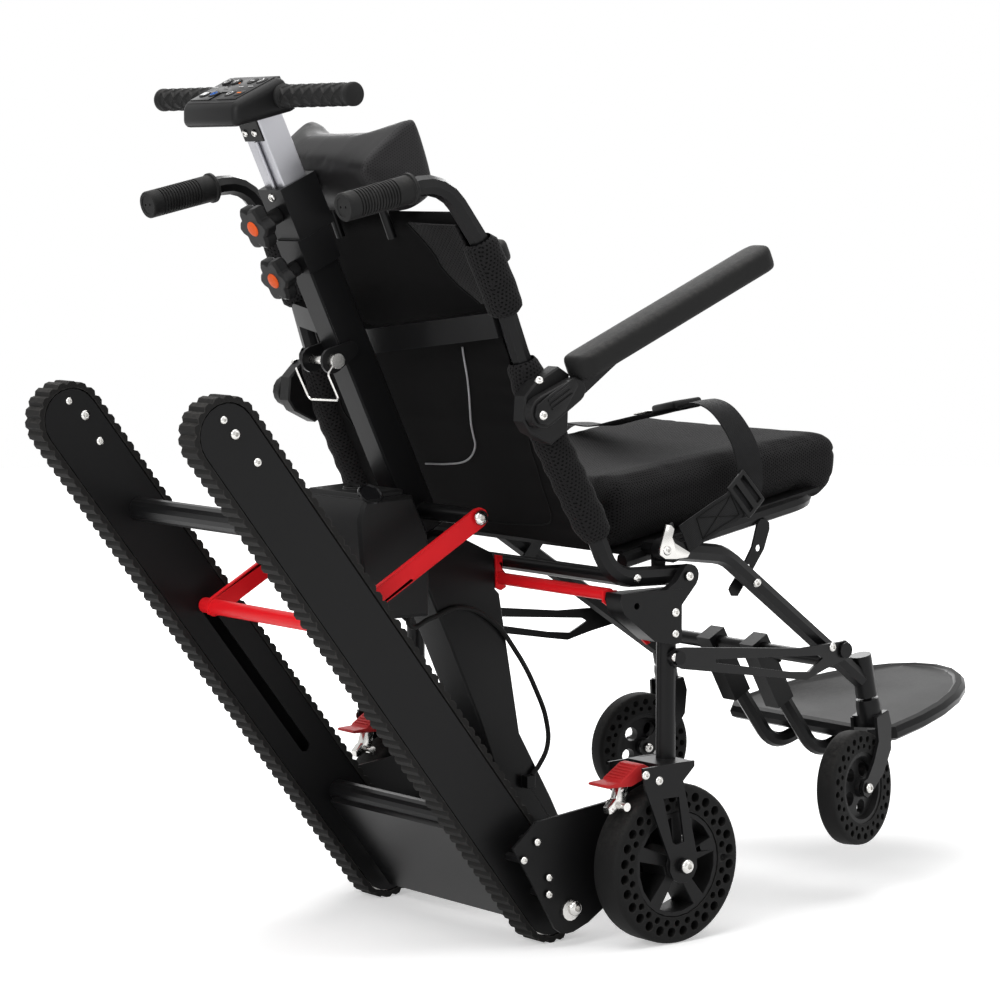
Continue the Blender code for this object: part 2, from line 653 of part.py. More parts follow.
def make_tyre(name, radius, inner, width, rows, shoulder, frame, openings=()):
    """A turned solid tyre whose side walls carry rows of holes right through it."""
    half = width / 2
    outside = [(radius - shoulder, half), (radius - 0.3 * shoulder, half - 0.3 * shoulder), (radius, half - shoulder),
               (radius, shoulder - half), (radius - 0.3 * shoulder, 0.3 * shoulder - half), (radius - shoulder, -half)]
    flat = Matrix.Identity(4)
    if inner:
        tyre = turned(name, [(inner, half), *outside, (inner, -half)], RUBBER, flat, WHEEL_SIDES)
    else:
        tyre = turned(name, [(0.0, half), *outside, (0.0, -half)], RUBBER, flat, WHEEL_SIDES, closed=False)
    holes = list(openings)
    for row_radius, hole_radius, count, corners, phase in rows:
        for i in range(count):
            angle = (i + phase) * math.tau / count
            centre = (row_radius * math.cos(angle), row_radius * math.sin(angle))
            holes.append(circle(centre, hole_radius, corners, angle))
    cut(tyre, plate("holes", holes[0], -width, width, None, holes[1:], view=flat))
    tyre.data.transform(frame)
    return tyre


def make_rim(name, outer, hub, hole, width, barrel, frame):
    """A moulded rim: deep spokes round a hub that fills the fork."""
    flat = Matrix.Identity(4)
    disc = plate(name, circle((0, 0), outer, WHEEL_SIDES), -width / 2, width / 2, PLASTIC,
                 spoke_windows(hub + 0.005, outer - 0.006, 5, 9.0), view=flat)
    core = cylinder("core", (0, 0, -barrel / 2), (0, 0, barrel / 2), hub, PLASTIC, 14)
    fuse(disc, core)
    cut(disc, bore((0, 0, -barrel / 2), (0, 0, barrel / 2), hole, 12))
    disc.data.transform(frame)
    return disc


def make_rear_wheel(name, s):
    frame = wheel_frame(s * REAR_WHEEL_X, AXLE_AT)
    rows = [(0.0870, 0.0056, TYRE_HOLES, 4, 0.0), (0.0755, 0.0052, TYRE_HOLES, 3, 0.5)]
    tyre = make_tyre(name + "_rear_tyre", REAR_WHEEL_RADIUS, REAR_TYRE_INNER_RADIUS + CLEARANCE,
                     REAR_WHEEL_WIDTH, rows, 0.006, frame)
    barrel = FORK_OUTER_X - FORK_INNER_X - 2 * PLATE_THICKNESS - 2 * CLEARANCE
    rim = make_rim(name + "_rear_rim", REAR_TYRE_INNER_RADIUS, REAR_HUB_RADIUS, AXLE_BOLT_RADIUS + CLEARANCE,
                   REAR_WHEEL_WIDTH - 0.002, barrel,
                   wheel_frame(s * (FORK_OUTER_X + FORK_INNER_X) / 2, AXLE_AT))
    return tyre, rim


def make_brake(name, s):
    """A foot brake: a ribbed pedal on its barrel, with the shoe bar that presses the tyre."""
    low, high = FORK_INNER_X + PLATE_THICKNESS + CLEARANCE, FORK_OUTER_X - PLATE_THICKNESS - CLEARANCE
    outline = [(0.0390, 0.2240), (0.0400, 0.2178), (0.0480, 0.2130), (0.0600, 0.2030), (0.0900, 0.2062),
               (0.1190, 0.2050), (0.1220, 0.2085), (0.1190, 0.2115), (0.1010, 0.2125), (0.1010, 0.2270),
               (0.0980, 0.2310)]
    pedal = slab(name + "_brake_pedal", outline, s * low, s * high, RED_PLASTIC, 0.001)
    lever = plate("lever", [(0.0600, 0.2100), (0.0750, 0.2100), (0.0830, 0.1790), (0.0720, 0.1745)],
                  s * 0.2640, s * 0.2720, STEEL)
    shoe = cylinder("shoe", (s * 0.2500, 0.0770, 0.1790), (s * 0.2860, 0.0770, 0.1790), 0.0055, STEEL, 12)
    return fuse(pedal, lever, shoe)


# Crawler unit

def make_track_frame(name, s):
    """Two long plates with the rails between them that guide the belt."""
    reach = TRACK_CENTRE_DISTANCE
    outline = (arc((0, 0), TRACK_FRAME_RADIUS, 90, 270, 11)
               + arc((reach, 0), TRACK_FRAME_RADIUS, -90, 90, 11))
    axle_hole = hole((0, 0), 0.0083, 12)
    slot = (arc((SLOT_START, 0), SLOT_HALF_WIDTH, 90, 270, 6) + arc((SLOT_END, 0), SLOT_HALF_WIDTH, -90, 90, 6))
    outside, inside = TRACK_X + TRACK_FRAME_HALF_WIDTH, TRACK_X - TRACK_FRAME_HALF_WIDTH
    outer = plate(name, outline, s * outside, s * (outside - 0.003), BLACK_PAINT, (axle_hole,), TRACK)
    inner = plate("inner", outline, s * inside, s * (inside + 0.003), BLACK_PAINT, (axle_hole, slot), TRACK)
    rails = []
    for edge in (-1, 1):
        low, high = sorted((edge * 0.0315, edge * 0.0360))
        rails.append(box("rail", (s * TRACK_X - TRACK_FRAME_HALF_WIDTH + 0.001, 0.048, low),
                         (s * TRACK_X + TRACK_FRAME_HALF_WIDTH - 0.001, reach - 0.048, high), BLACK_PAINT, TRACK))
    stub = cylinder("stub", TRACK @ Vector((s * (inside + 0.001), reach, 0)),
                    TRACK @ Vector((s * (outside - 0.001), reach, 0)), 0.006, BLACK_PAINT, 14)
    return fuse(outer, *rails, stub, inner)


MOUNT_BOLTS = ((0.166, 0.136), (0.187, 0.117), (0.148, 0.090), (0.148, 0.069))


def make_mounting_plate(name, s):
    """The plate that carries a track on the cross axle, with its four stand-off bolts."""
    outline = ([(0.205, 0.133), (0.169, 0.162), (0.042, 0.177)] + arc(AXLE_AT, 0.034, 75, 235, 9)
               + [(0.060, 0.044), (0.087, 0.027)] + arc(TRACK_AXLE_AT, 0.030, 255, 315, 4) + [(0.178, 0.091)])
    high = MOUNT_PLATE_X + 0.004
    part = plate(name, outline, s * MOUNT_PLATE_X, s * high, BLACK_PAINT,
                 (hole(AXLE_AT, AXLE_TUBE_RADIUS + CLEARANCE, 16), hole(TRACK_AXLE_AT, 0.0083, 12)))
    standoff = TRACK_X + TRACK_FRAME_HALF_WIDTH + CLEARANCE
    for place in MOUNT_BOLTS:
        fuse(part, cylinder("bolt", side(s * standoff, place), side(s * (high + 0.003), place), 0.0055,
                            BLACK_PAINT, 6))
    return part


def make_belt(name, s):
    """A closed rubber belt with lugs across it, round both pulleys."""
    reach = TRACK_CENTRE_DISTANCE
    inner_radius = BELT_INNER_RADIUS / math.cos(math.radians(7.5))
    inner = arc((0, 0), inner_radius, 90, 270, 13) + arc((reach, 0), inner_radius, -90, 90, 13)

    def place(distance, radius):
        """The point at a distance along the belt's root line, pushed out to a radius."""
        half_turn = math.pi * BELT_ROOT_RADIUS
        distance %= 2 * (half_turn + reach)
        if distance < half_turn:
            angle = math.pi / 2 + distance / BELT_ROOT_RADIUS
            return (radius * math.cos(angle), radius * math.sin(angle))
        distance -= half_turn
        if distance < reach:
            return (distance, -radius)
        distance -= reach
        if distance < half_turn:
            angle = -math.pi / 2 + distance / BELT_ROOT_RADIUS
            return (reach + radius * math.cos(angle), radius * math.sin(angle))
        return (reach - (distance - half_turn), radius)

    length = 2 * (math.pi * BELT_ROOT_RADIUS + reach)
    pitch = length / BELT_LUGS
    lowest = math.radians(270 - TRACK_ANGLE - 90) * BELT_ROOT_RADIUS
    outline = []
    for i in range(BELT_LUGS):
        start = lowest + (i - 0.5) * pitch
        outline += [place(start, BELT_ROOT_RADIUS), place(start + 0.30 * pitch, BELT_OUTER_RADIUS),
                    place(start + 0.70 * pitch, BELT_OUTER_RADIUS)]
    return plate(name, outline, s * TRACK_X - BELT_WIDTH / 2, s * TRACK_X + BELT_WIDTH / 2, RUBBER, (inner,), TRACK)


def make_track_tubes():
    half = TRACK_X - TRACK_FRAME_HALF_WIDTH - CLEARANCE
    upper = cylinder("upper_track_tube", TRACK @ Vector((-half, UPPER_TUBE_ALONG, 0.004)),
                     TRACK @ Vector((half, UPPER_TUBE_ALONG, 0.004)), 0.015, BLACK_PAINT, 16)
    lower = cylinder("lower_track_tube", TRACK @ Vector((-half, LOWER_TUBE_ALONG, 0.002)),
                     TRACK @ Vector((half, LOWER_TUBE_ALONG, 0.002)), 0.014, BLACK_PAINT, 16)
    along = LOWER_TUBE_ALONG
    panel = plate("panel", [(-0.021, -0.019), (along + 0.002, -0.019), (along + 0.002, -0.004),
                            (along - 0.001, -0.004), (along - 0.001, -0.016), (-0.021, -0.016)],
                  -0.150, 0.150, BLACK_PAINT, frame=TRACK)
    return upper, fuse(lower, panel)


def make_drive():
    """The gearbox and motor beside the drive axle, and the axle with its two sprockets."""
    motor_at, foot_at = (0.030, 0.052), (0.100, 0.004)
    gearbox = plate("drive_unit", hull_outline((0, 0), 0.0150, motor_at, 0.032, 8), 0.036, 0.060, BLACK_PAINT,
                    (hole((0, 0), 0.0083, 12),), TRACK)
    foot = plate("foot", hull_outline(motor_at, 0.016, foot_at, 0.0120, 5), 0.040, 0.056, BLACK_PAINT, frame=TRACK)
    toe = box("toe", (0.042, foot_at[0], -0.004), (0.054, LOWER_TUBE_ALONG - 0.014 - CLEARANCE, 0.010),
              BLACK_PAINT, TRACK)
    motor = cylinder("motor", TRACK @ Vector((0.058, *motor_at)), TRACK @ Vector((0.148, *motor_at)), 0.028,
                     BLACK_PAINT, 20)
    drive_unit = fuse(gearbox, foot, toe, motor)
    sprocket = BELT_INNER_RADIUS - CLEARANCE
    low, high = TRACK_X - 0.0120, TRACK_X + 0.0120
    plate_face = MOUNT_PLATE_X + 0.004 + CLEARANCE
    axle = cross_shaft("drive_axle", TRACK_AXLE_AT, [
        (-plate_face - 0.005, 0.0130), (-plate_face, 0.008), (-high, sprocket), (-low, 0.008), (low, sprocket),
        (high, 0.008), (plate_face, 0.0130), (plate_face + 0.005, 0.0130)], BLACK_PAINT, 14)
    return drive_unit, axle


def make_idler(name, s):
    radius = BELT_INNER_RADIUS - CLEARANCE
    hole = 0.006 + CLEARANCE
    frame = TRACK @ Matrix.Translation((s * TRACK_X, TRACK_CENTRE_DISTANCE, 0)) @ Matrix.Rotation(
        math.radians(90), 4, "Y")
    return turned(name, [(radius, 0.012), (radius, -0.012), (0.030, -0.012), (0.027, -0.006), (hole, -0.006),
                         (hole, 0.006), (0.027, 0.006), (0.030, 0.012)], BLACK_PAINT, frame, 18)


def make_red_arm():
    """The red folding frame: a tube that slides in the track slots and two flat arms."""
    slide_at = TRACK @ Vector((0, RED_TUBE_ALONG, 0))
    end = (slide_at.y, slide_at.z)
    half = TRACK_X - TRACK_FRAME_HALF_WIDTH - 0.0025
    frame = cylinder("red_folding_arm", side(-half, end), side(half, end), RED_TUBE_RADIUS, RED_PAINT, 14)
    for _, s in SIDES:
        low, high = RED_ARM_X, RED_ARM_X + 0.0055
        arm = plate("arm", hull_outline(RED_ARM_PIVOT, 0.0125, end, 0.0125, 6), s * low, s * high, RED_PAINT,
                    (hole(RED_ARM_PIVOT, 0.0053),))
        fuse(frame, arm)
    return frame


# Front legs, links and casters

def make_leg(name, s):
    """A splayed front leg with its rear barrel, head tube, link bolt and belt hook."""
    corner, foot = (-0.118, 0.473), (-0.384, 0.2880)
    points = [side(s * leg_x(p[0]), p) for p in (LEG_PIVOT, corner, foot)]
    leg = tube(name, points, FRAME_TUBE_RADIUS, BLACK_PAINT, bend=0.07, steps=6)
    x = leg_x(LEG_PIVOT[0])
    barrel = cylinder("barrel", side(s * (x - 0.0125), LEG_PIVOT), side(s * (x + 0.0120), LEG_PIVOT), 0.0150,
                      BLACK_PAINT, 14)
    head = tilted(HEAD_TUBE_AT, -CASTER_RAKE, s * leg_x(HEAD_TUBE_AT[0]))
    head_tube = cylinder("head_tube", head @ Vector((0, 0, -HEAD_TUBE_LENGTH / 2)),
                         head @ Vector((0, 0, HEAD_TUBE_LENGTH / 2)), HEAD_TUBE_RADIUS, BLACK_PAINT, 14)
    hook_x = x + 0.0115
    hook_outline = [(-0.0080, 0.4790), (0.0040, 0.4870), (0.0030, 0.5000), (-0.0080, 0.5180), (-0.0130, 0.5215),
                    (-0.0150, 0.5160), (-0.0110, 0.5090), (-0.0170, 0.4990), (-0.0290, 0.4955), (-0.0430, 0.4985),
                    (-0.0440, 0.4930), (-0.0350, 0.4840)]
    hook = plate("hook", hook_outline, s * hook_x, s * (hook_x + 0.0040), STEEL)
    bolt = cylinder("bolt", side(s * (leg_x(LINK_FRONT_PIVOT[0]) + 0.008), LINK_FRONT_PIVOT),
                    side(s * 0.2395, LINK_FRONT_PIVOT), LINK_BOLT_RADIUS, BLACK_PAINT, 10)
    bolt_head = cylinder("head", side(s * 0.2392, LINK_FRONT_PIVOT), side(s * 0.2422, LINK_FRONT_PIVOT),
                         LINK_BOLT_RADIUS + 0.0075, BLACK_PAINT, 12)
    fuse(leg, barrel, head_tube, hook, bolt, bolt_head)
    rung_x = leg_x(FRONT_TUBE_AT[0])
    return cut(leg,
               bore(side(s * (x - 0.014), LEG_PIVOT), side(s * (x + 0.017), LEG_PIVOT), PIN_RADIUS + CLEARANCE, 10),
               bore(side(s * (rung_x - 0.024), FRONT_TUBE_AT), side(s * (rung_x + 0.002), FRONT_TUBE_AT),
                    0.0060 + CLEARANCE, 10),
               bore(head @ Vector((0, 0, -HEAD_TUBE_LENGTH / 2)), head @ Vector((0, 0, HEAD_TUBE_LENGTH / 2 - 0.006)),
                    0.0063, 12))


def make_front_tube():
    """The rung between the front legs, held by a spigot in each leg."""
    reach = leg_x(FRONT_TUBE_AT[0]) - FRAME_TUBE_RADIUS - 0.0012
    return cross_shaft("front_cross_tube", FRONT_TUBE_AT, [
        (-reach - 0.012, 0.006), (-reach, RUNG_RADIUS), (reach, 0.006), (reach + 0.012, 0.006)], BLACK_PAINT, 14)


def make_link(name, s):
    """The slotted brace from the post to the front leg: a plate set at the legs' splay."""
    rear, front = side(s * 0.2812, LINK_REAR_PIVOT), side(s * 0.2355, LINK_FRONT_PIVOT)
    length = (front - rear).length
    outline = (arc((0, 0), 0.0125, 75, 285, 7) + [(0.010, -0.0145), (0.222, -0.034), (0.253, -0.0365),
               (0.289, -0.024)] + arc((length, 0), 0.0130, -70, 120, 6) + [(0.235, 0.005), (0.012, 0.0126)])
    slot = [(0.071, -0.0040), (0.275, -0.0055), (0.283, -0.0095), (0.256, -0.0260), (0.222, -0.0250),
            (0.071, -0.0085)]
    along = (front - rear).normalized()
    outward = Vector((s, 0, 0))
    across = along.cross(outward).normalized() * s
    if across.z < 0:
        across = -across
    normal = along.cross(across)
    frame = Matrix((along, across, normal)).transposed().to_4x4()
    frame.translation = rear
    link = plate(name, outline, -0.0018, 0.0018, BLACK_PAINT, (slot,), frame, view=Matrix.Identity(4))
    cut(link, bore(rear - outward * 0.006, rear + outward * 0.006, 0.0053, 10),
        bore(front - outward * 0.006, front + outward * 0.006, LINK_BOLT_RADIUS + LINK_BOLT_PLAY, 12))
    return link


def make_caster(side_name, s):
    """A caster: a forged fork on its stem and a wheel, swivelled as it came to rest."""
    x = leg_x(HEAD_TUBE_AT[0])
    head = tilted(HEAD_TUBE_AT, -CASTER_RAKE, s * x)
    frame = head @ Matrix.Translation((0, 0, -HEAD_TUBE_LENGTH / 2)) @ Matrix.Rotation(
        math.radians(CASTER_SWIVEL[side_name]), 4, "Z")
    hub_y, hub_z = CASTER_TRAIL, -CASTER_HUB_DROP
    half = CASTER_WHEEL_WIDTH / 2
    upright = Matrix.Identity(4)
    stem = cylinder(side_name + "_caster_fork", (0, 0, -0.016), (0, 0, 0.046), 0.006, BLACK_PAINT, 12)
    crown = turned("crown", [(0.0, -0.0035), (0.0150, -0.0035), (0.0165, -0.012), (0.0165, -0.034), (0.0, -0.036)],
                   BLACK_PAINT, upright, 14, closed=False)
    bridge = box("bridge", (-half - 0.0060, -0.0140, -0.0400), (half + 0.0060, 0.0130, -0.0240), BLACK_PAINT)
    blades = []
    for edge in (-1, 1):
        outline = ([(-0.0150, -0.0250), (-0.0170, -0.0440), (-0.0070, -0.0760), (0.0200, -0.1000)]
                   + arc((hub_y, hub_z), 0.0125, 240, 470, 6) + [(0.0400, -0.0790), (0.0200, -0.0560), (0.0160, -0.0250)])
        low, high = sorted((edge * (half + 0.0022), edge * (half + 0.0065)))
        blades.append(plate("blade", outline, low, high, BLACK_PAINT))
    axle = cylinder("axle", (-half - 0.0085, hub_y, hub_z), (half + 0.0085, hub_y, hub_z), 0.004, BLACK_PAINT, 10)
    fork = fuse(stem, crown, bridge, *blades, axle)
    fork.data.transform(frame)
    wheel_at = frame @ Matrix.Translation((0, hub_y, hub_z)) @ Matrix.Rotation(math.radians(-90), 4, "Y")
    rows = [(0.0615, 0.0046, CASTER_HOLES, 4, 0.0), (0.0, 0.0044, 1, 10, 0.0)]
    wheel = make_tyre(side_name + "_caster_wheel", CASTER_WHEEL_RADIUS, 0.0, CASTER_WHEEL_WIDTH, rows, 0.005,
                      wheel_at, spoke_windows(0.017, 0.042, 5, 9.0))
    return fork, wheel


# Seat and footrest

SEAT_REAR_Y, SEAT_FRONT_Y = 0.020, -0.312
SEAT_EYE_REACH = 0.0225
CUSHION_LIFT = 0.002
CUSHION_REAR_Y, CUSHION_FRONT_Y = 0.036, -0.352


def seat_z(y):
    """Height of the seat's upper face at a place along it."""
    return 0.500 - SEAT_SLOPE * (y + 0.080)


def make_seat_frame():
    """The seat's U-shaped rail and sheet, its rear eyes and the perforated front straps."""
    rail_x, drop = SEAT_HALF_WIDTH, 0.0105
    corners = [(rail_x, SEAT_REAR_Y), (rail_x, SEAT_FRONT_Y), (-rail_x, SEAT_FRONT_Y), (-rail_x, SEAT_REAR_Y)]
    rail = tube("seat_frame", [(x, y, seat_z(y) - drop) for x, y in corners], 0.010, BLACK_PAINT, bend=0.05,
                steps=4)
    high, low = CUSHION_LIFT - CLEARANCE, -0.0030
    rear_y = SEAT_REAR_Y - 0.002
    sheet_outline = [(rear_y, seat_z(rear_y) + high), (SEAT_FRONT_Y, seat_z(SEAT_FRONT_Y) + high),
                     (SEAT_FRONT_Y, seat_z(SEAT_FRONT_Y) + low), (rear_y, seat_z(rear_y) + low)]
    sheet = plate("sheet", sheet_outline, -rail_x, rail_x, FABRIC)
    fuse(rail, sheet)
    for _, s in SIDES:
        eye = plate("eye", hull_outline(LEG_PIVOT, 0.0105, (-0.060, seat_z(-0.060) - drop), 0.0085, 5),
                    s * (rail_x + 0.004), s * (rail_x + SEAT_EYE_REACH), BLACK_PAINT, (hole(LEG_PIVOT, PIN_RADIUS + CLEARANCE),))
        strap = (arc((-0.205, 0.5010), 0.0110, 200, 20, 5) + [(-0.186, 0.476), (-0.171, 0.453), (-0.150, 0.428)]
                 + arc((-0.158, 0.4240), 0.0100, 0, -170, 4) + [(-0.188, 0.448), (-0.206, 0.472)])
        holes = (circle((-0.1965, 0.474), 0.0048, 8), circle((-0.1800, 0.4500), 0.0048, 8))
        front_strap = plate("strap", strap, s * (rail_x + 0.0085), s * (rail_x + 0.0115), BLACK_PAINT, holes)
        fuse(rail, eye, front_strap)
    return rail


def rounded_ring(half, front, rear, bend, height):
    """A rounded rectangle of points, each lifted by a height that depends on its place."""
    corners = ((half, rear, 0), (-half, rear, 90), (-half, front, 180), (half, front, 270))
    ring = []
    for x, y, first in corners:
        centre = (x - math.copysign(bend, x), y - bend if y == rear else y + bend)
        ring += arc(centre, bend, first, first + 90, 4)
    return [Vector((x, y, height(x, y))) for x, y in ring]


def cushion_top(y):
    return 0.570 - 0.126 * (y - 0.030)


def make_cushion():
    """The seat cushion: a crowned block with drawn-in lower sides and rounded shoulders."""
    stages = ((0.2050, 0.005, 0.032, 0.0, CUSHION_LIFT), (0.2105, 0.001, 0.036, 0.0, 0.016),
              (0.2115, 0.000, 0.036, 1.0, -0.026), (0.2060, 0.004, 0.034, 1.0, -0.009),
              (0.1880, 0.020, 0.030, 1.0, 0.000), (0.1250, 0.080, 0.030, 1.0, 0.006),
              (0.0600, 0.130, 0.030, 1.0, 0.008))
    rings = []
    for half, inset, bend, share, lift in stages:
        def height(x, y):
            base = cushion_top(y) if share else seat_z(y)
            return base + lift
        rings.append(rounded_ring(half, CUSHION_FRONT_Y + inset, CUSHION_REAR_Y - inset, bend, height))
    return loft("seat_cushion", rings, FABRIC)


LAP_BELT_ROUTE = (
    ((-0.26505, -0.0300, 0.5000), (-1.0, 0.0, 0.0)), ((-0.26505, -0.0460, 0.5080), (-1.0, 0.0, 0.0)),
    ((-0.2590, -0.0850, 0.5230), (-1.0, 0.0, 0.05)), ((-0.2480, -0.1300, 0.5380), (-1.0, 0.0, 0.15)),
    ((-0.2400, -0.1600, 0.5620), (-1.0, 0.1, 0.25)), ((-0.2250, -0.1640, 0.6080), (-0.95, 0.1, 0.45)),
    ((-0.1900, -0.1610, 0.6480), (-0.6, 0.1, 0.8)), ((-0.1500, -0.1610, 0.6600), (0.0, 0.1, 1.0)),
    ((-0.1100, -0.1650, 0.6500), (0.3, 0.1, 1.0)), ((-0.0300, -0.1750, 0.6360), (0.1, 0.0, 1.0)),
    ((0.0300, -0.1820, 0.6250), (0.15, 0.0, 1.0)), ((0.1000, -0.1950, 0.6130), (0.05, 0.0, 1.0)),
    ((0.1700, -0.2050, 0.6120), (0.10, 0.0, 1.0)), ((0.2120, -0.2060, 0.5990), (0.80, 0.0, 0.6)),
    ((0.2230, -0.1950, 0.5700), (1.0, 0.0, 0.1)), ((0.2450, -0.1100, 0.5350), (1.0, 0.0, 0.0)),
    ((0.26505, -0.0460, 0.5080), (1.0, 0.0, 0.0)), ((0.26505, -0.0300, 0.5000), (1.0, 0.0, 0.0)))


def make_lap_belt():
    """The lap belt, from hook to hook over the cushion, with its buckle closed."""
    width, thickness = 0.038, 0.0022
    rings = []
    for i, (point, normal) in enumerate(LAP_BELT_ROUTE):
        before = Vector(LAP_BELT_ROUTE[max(i - 1, 0)][0])
        after = Vector(LAP_BELT_ROUTE[min(i + 1, len(LAP_BELT_ROUTE) - 1)][0])
        across = (after - before).cross(Vector(normal)).normalized()
        thick = across.cross(after - before).normalized() * (thickness / 2)
        across *= width / 2
        rings.append([Vector(point) + offset for offset in
                      (across + thick, thick - across, -across - thick, across - thick)])
    belt = loft("lap_belt", rings, FABRIC)
    buckle = box("buckle", (-0.030, -0.021, -0.006), (0.030, 0.021, 0.008), PLASTIC,
                 Matrix.Translation((-0.0640, -0.1705, 0.6420)) @ Matrix.Rotation(math.radians(-7), 4, "Z")
                 @ Matrix.Rotation(math.radians(10), 4, "Y"), 0.003, 1)
    return fuse(belt, buckle)


FOOTPLATE_SLOPE = 0.197


def footplate_z(y):
    return 0.208 - FOOTPLATE_SLOPE * (y + 0.496)


def make_footrest():
    """The footrest: two bent stays clamped round the rung, a ring of tube and the tread plate."""
    half, rear, depth = 0.157, -0.497, 0.230
    loop = [(half * math.cos(a), rear - depth * math.sin(a)) for a in
            [math.radians(180 * i / 14) for i in range(15)]] + [(-half + 0.020, rear + 0.022), (half - 0.020, rear + 0.022)]
    frame = tube("footrest_frame", [(x, y, footplate_z(y) - 0.0085) for x, y in loop], 0.011, BLACK_PAINT, bend=0,
                 roundness=2, ring=True)
    plan = [(x * 0.985, y + 0.003) for x, y in loop]
    tread = plate("tread", plan, -0.0020, 0.0020, BLACK_PAINT, view=Matrix.Identity(4))
    for vertex in tread.data.vertices:
        vertex.co.z += footplate_z(vertex.co.y) - 0.0020
    fuse(frame, tread)
    for x in (-0.044, 0.044):
        stay = tube("stay", [(x, -0.392, 0.2480), (x, -0.458, 0.1600), (x, -0.720, 0.2434)], 0.0105, BLACK_PAINT,
                    bend=0.040, roundness=2, steps=5)
        clamp = box("clamp", (-0.0135, -0.0150, -0.086), (0.0135, 0.0150, 0.0160), BLACK_PAINT,
                    tilted(FRONT_TUBE_AT, -28.7, x))
        fuse(frame, stay, clamp)
    return cut(frame, bore(side(-0.070, FRONT_TUBE_AT), side(0.070, FRONT_TUBE_AT), RUNG_RADIUS + CLEARANCE, 14))


# Back, headrest and arms

BACK_LINE = ((0.091, 0.516), (0.158, 0.641), (0.196, 0.739), (0.222, 0.812), (0.251, 0.872))
HANDLE_CORNER = (0.304, 0.943)
HANDLE_END = (0.4390, 0.9128)


def back_x(z):
    """Half the distance between the back tubes at a height."""
    share = min(1.0, max(0.0, (z - 0.46) / 0.45))
    return BACK_TUBE_FOOT_X - 0.004 + (BACK_TUBE_TOP_X - BACK_TUBE_FOOT_X + 0.004) * share ** 0.6


def back_tube_route(s):
    """Corner points of a back tube, from its foot past the push handle."""
    points = [side(s * BACK_TUBE_FOOT_X, (-0.042, 0.4545)), side(s * 0.2485, (0.073, 0.4570))]
    points += [side(s * back_x(p[1]), p) for p in BACK_LINE]
    points += [side(s * BACK_TUBE_TOP_X, HANDLE_CORNER), side(s * BACK_TUBE_TOP_X, HANDLE_END)]
    return points


def make_crossbar(grown=0.0):
    """The flat bar behind the back panel, which rises from its middle to both tubes."""
    lean, flat = Vector((0, 0.3356, 0.9420)), Vector((0, 0.9420, -0.3356))
    thick, high = flat * (0.006 + grown), lean * (0.0160 + grown)
    rings = []
    reach = 0.213 + grown
    for x, place in ((-reach, (0.2196, 0.7711)), (0.0, (0.2500, 0.7450)), (reach, (0.2196, 0.7711))):
        centre = side(x, place)
        rings.append([centre + thick + high, centre - thick + high, centre - thick - high, centre + thick - high])
    return loft("crossbar", rings, BLACK_PAINT)


def make_back_frame():
    """Both bent back tubes with the rail and the crossbar between them."""
    frame = tube("back_frame", back_tube_route(-1), FRAME_TUBE_RADIUS, BLACK_PAINT, bend=0.055)
    other = tube("other", back_tube_route(1), FRAME_TUBE_RADIUS, BLACK_PAINT, bend=0.055)
    rail = cylinder("rail", (-0.248, 0.060, 0.4570), (0.248, 0.060, 0.4570), 0.010, BLACK_PAINT, 12)
    fuse(frame, rail, other, make_crossbar())
    for _, s in SIDES:
        ear = plate("ear", hull_outline((-0.017, 0.4590), 0.0090, LEG_PIVOT, 0.0100, 5), s * 0.2282, s * 0.2340,
                    BLACK_PAINT)
        web = box("web", (min(s * 0.2292, s * 0.2450), -0.025, 0.4525), (max(s * 0.2292, s * 0.2450), -0.009, 0.4610),
                  BLACK_PAINT)
        pin = cylinder("pin", side(s * 0.2205, LEG_PIVOT), side(s * 0.2660, LEG_PIVOT), PIN_RADIUS, BLACK_PAINT, 10)
        fuse(frame, web, ear, pin)
        cut(frame, bore(side(s * 0.2345, BACK_PIVOT), side(s * 0.2660, BACK_PIVOT), PIN_RADIUS + CLEARANCE, 10))
    return frame


def make_grip(name, s):
    """A rubber sleeve over the end of a push handle."""
    start, end = Vector(HANDLE_CORNER), Vector(HANDLE_END)
    run = (end - start).normalized()
    root = start + run * 0.046
    length = (end - root).length + 0.008
    frame = Matrix.Translation(side(s * BACK_TUBE_TOP_X, root)) @ Matrix.Rotation(
        math.radians(-90) + math.atan2(run.y, run.x), 4, "X")
    outer, inner = 0.0175, (FRAME_TUBE_RADIUS + CLEARANCE) / math.cos(math.pi / 14)
    profile = [(0.0, length), (outer - 0.004, length), (outer, length - 0.004), (outer, 0.006),
               (outer + 0.002, 0.003), (outer + 0.002, 0.0), (inner, 0.0), (inner, length - 0.0075),
               (0.0, length - 0.0075)]
    return turned(name, profile, RUBBER, frame, 14, closed=False)


def offset_line(points, distance):
    """A line of side-view points moved square to itself."""
    moved = []
    for i, (y, z) in enumerate(points):
        before, after = points[max(i - 1, 0)], points[min(i + 1, len(points) - 1)]
        dy, dz = after[0] - before[0], after[1] - before[1]
        size = math.hypot(dy, dz)
        moved.append((y + dz / size * distance, z - dy / size * distance))
    return moved


PANEL_LINE = ((0.0755, 0.487), *BACK_LINE, (0.268, 0.900))


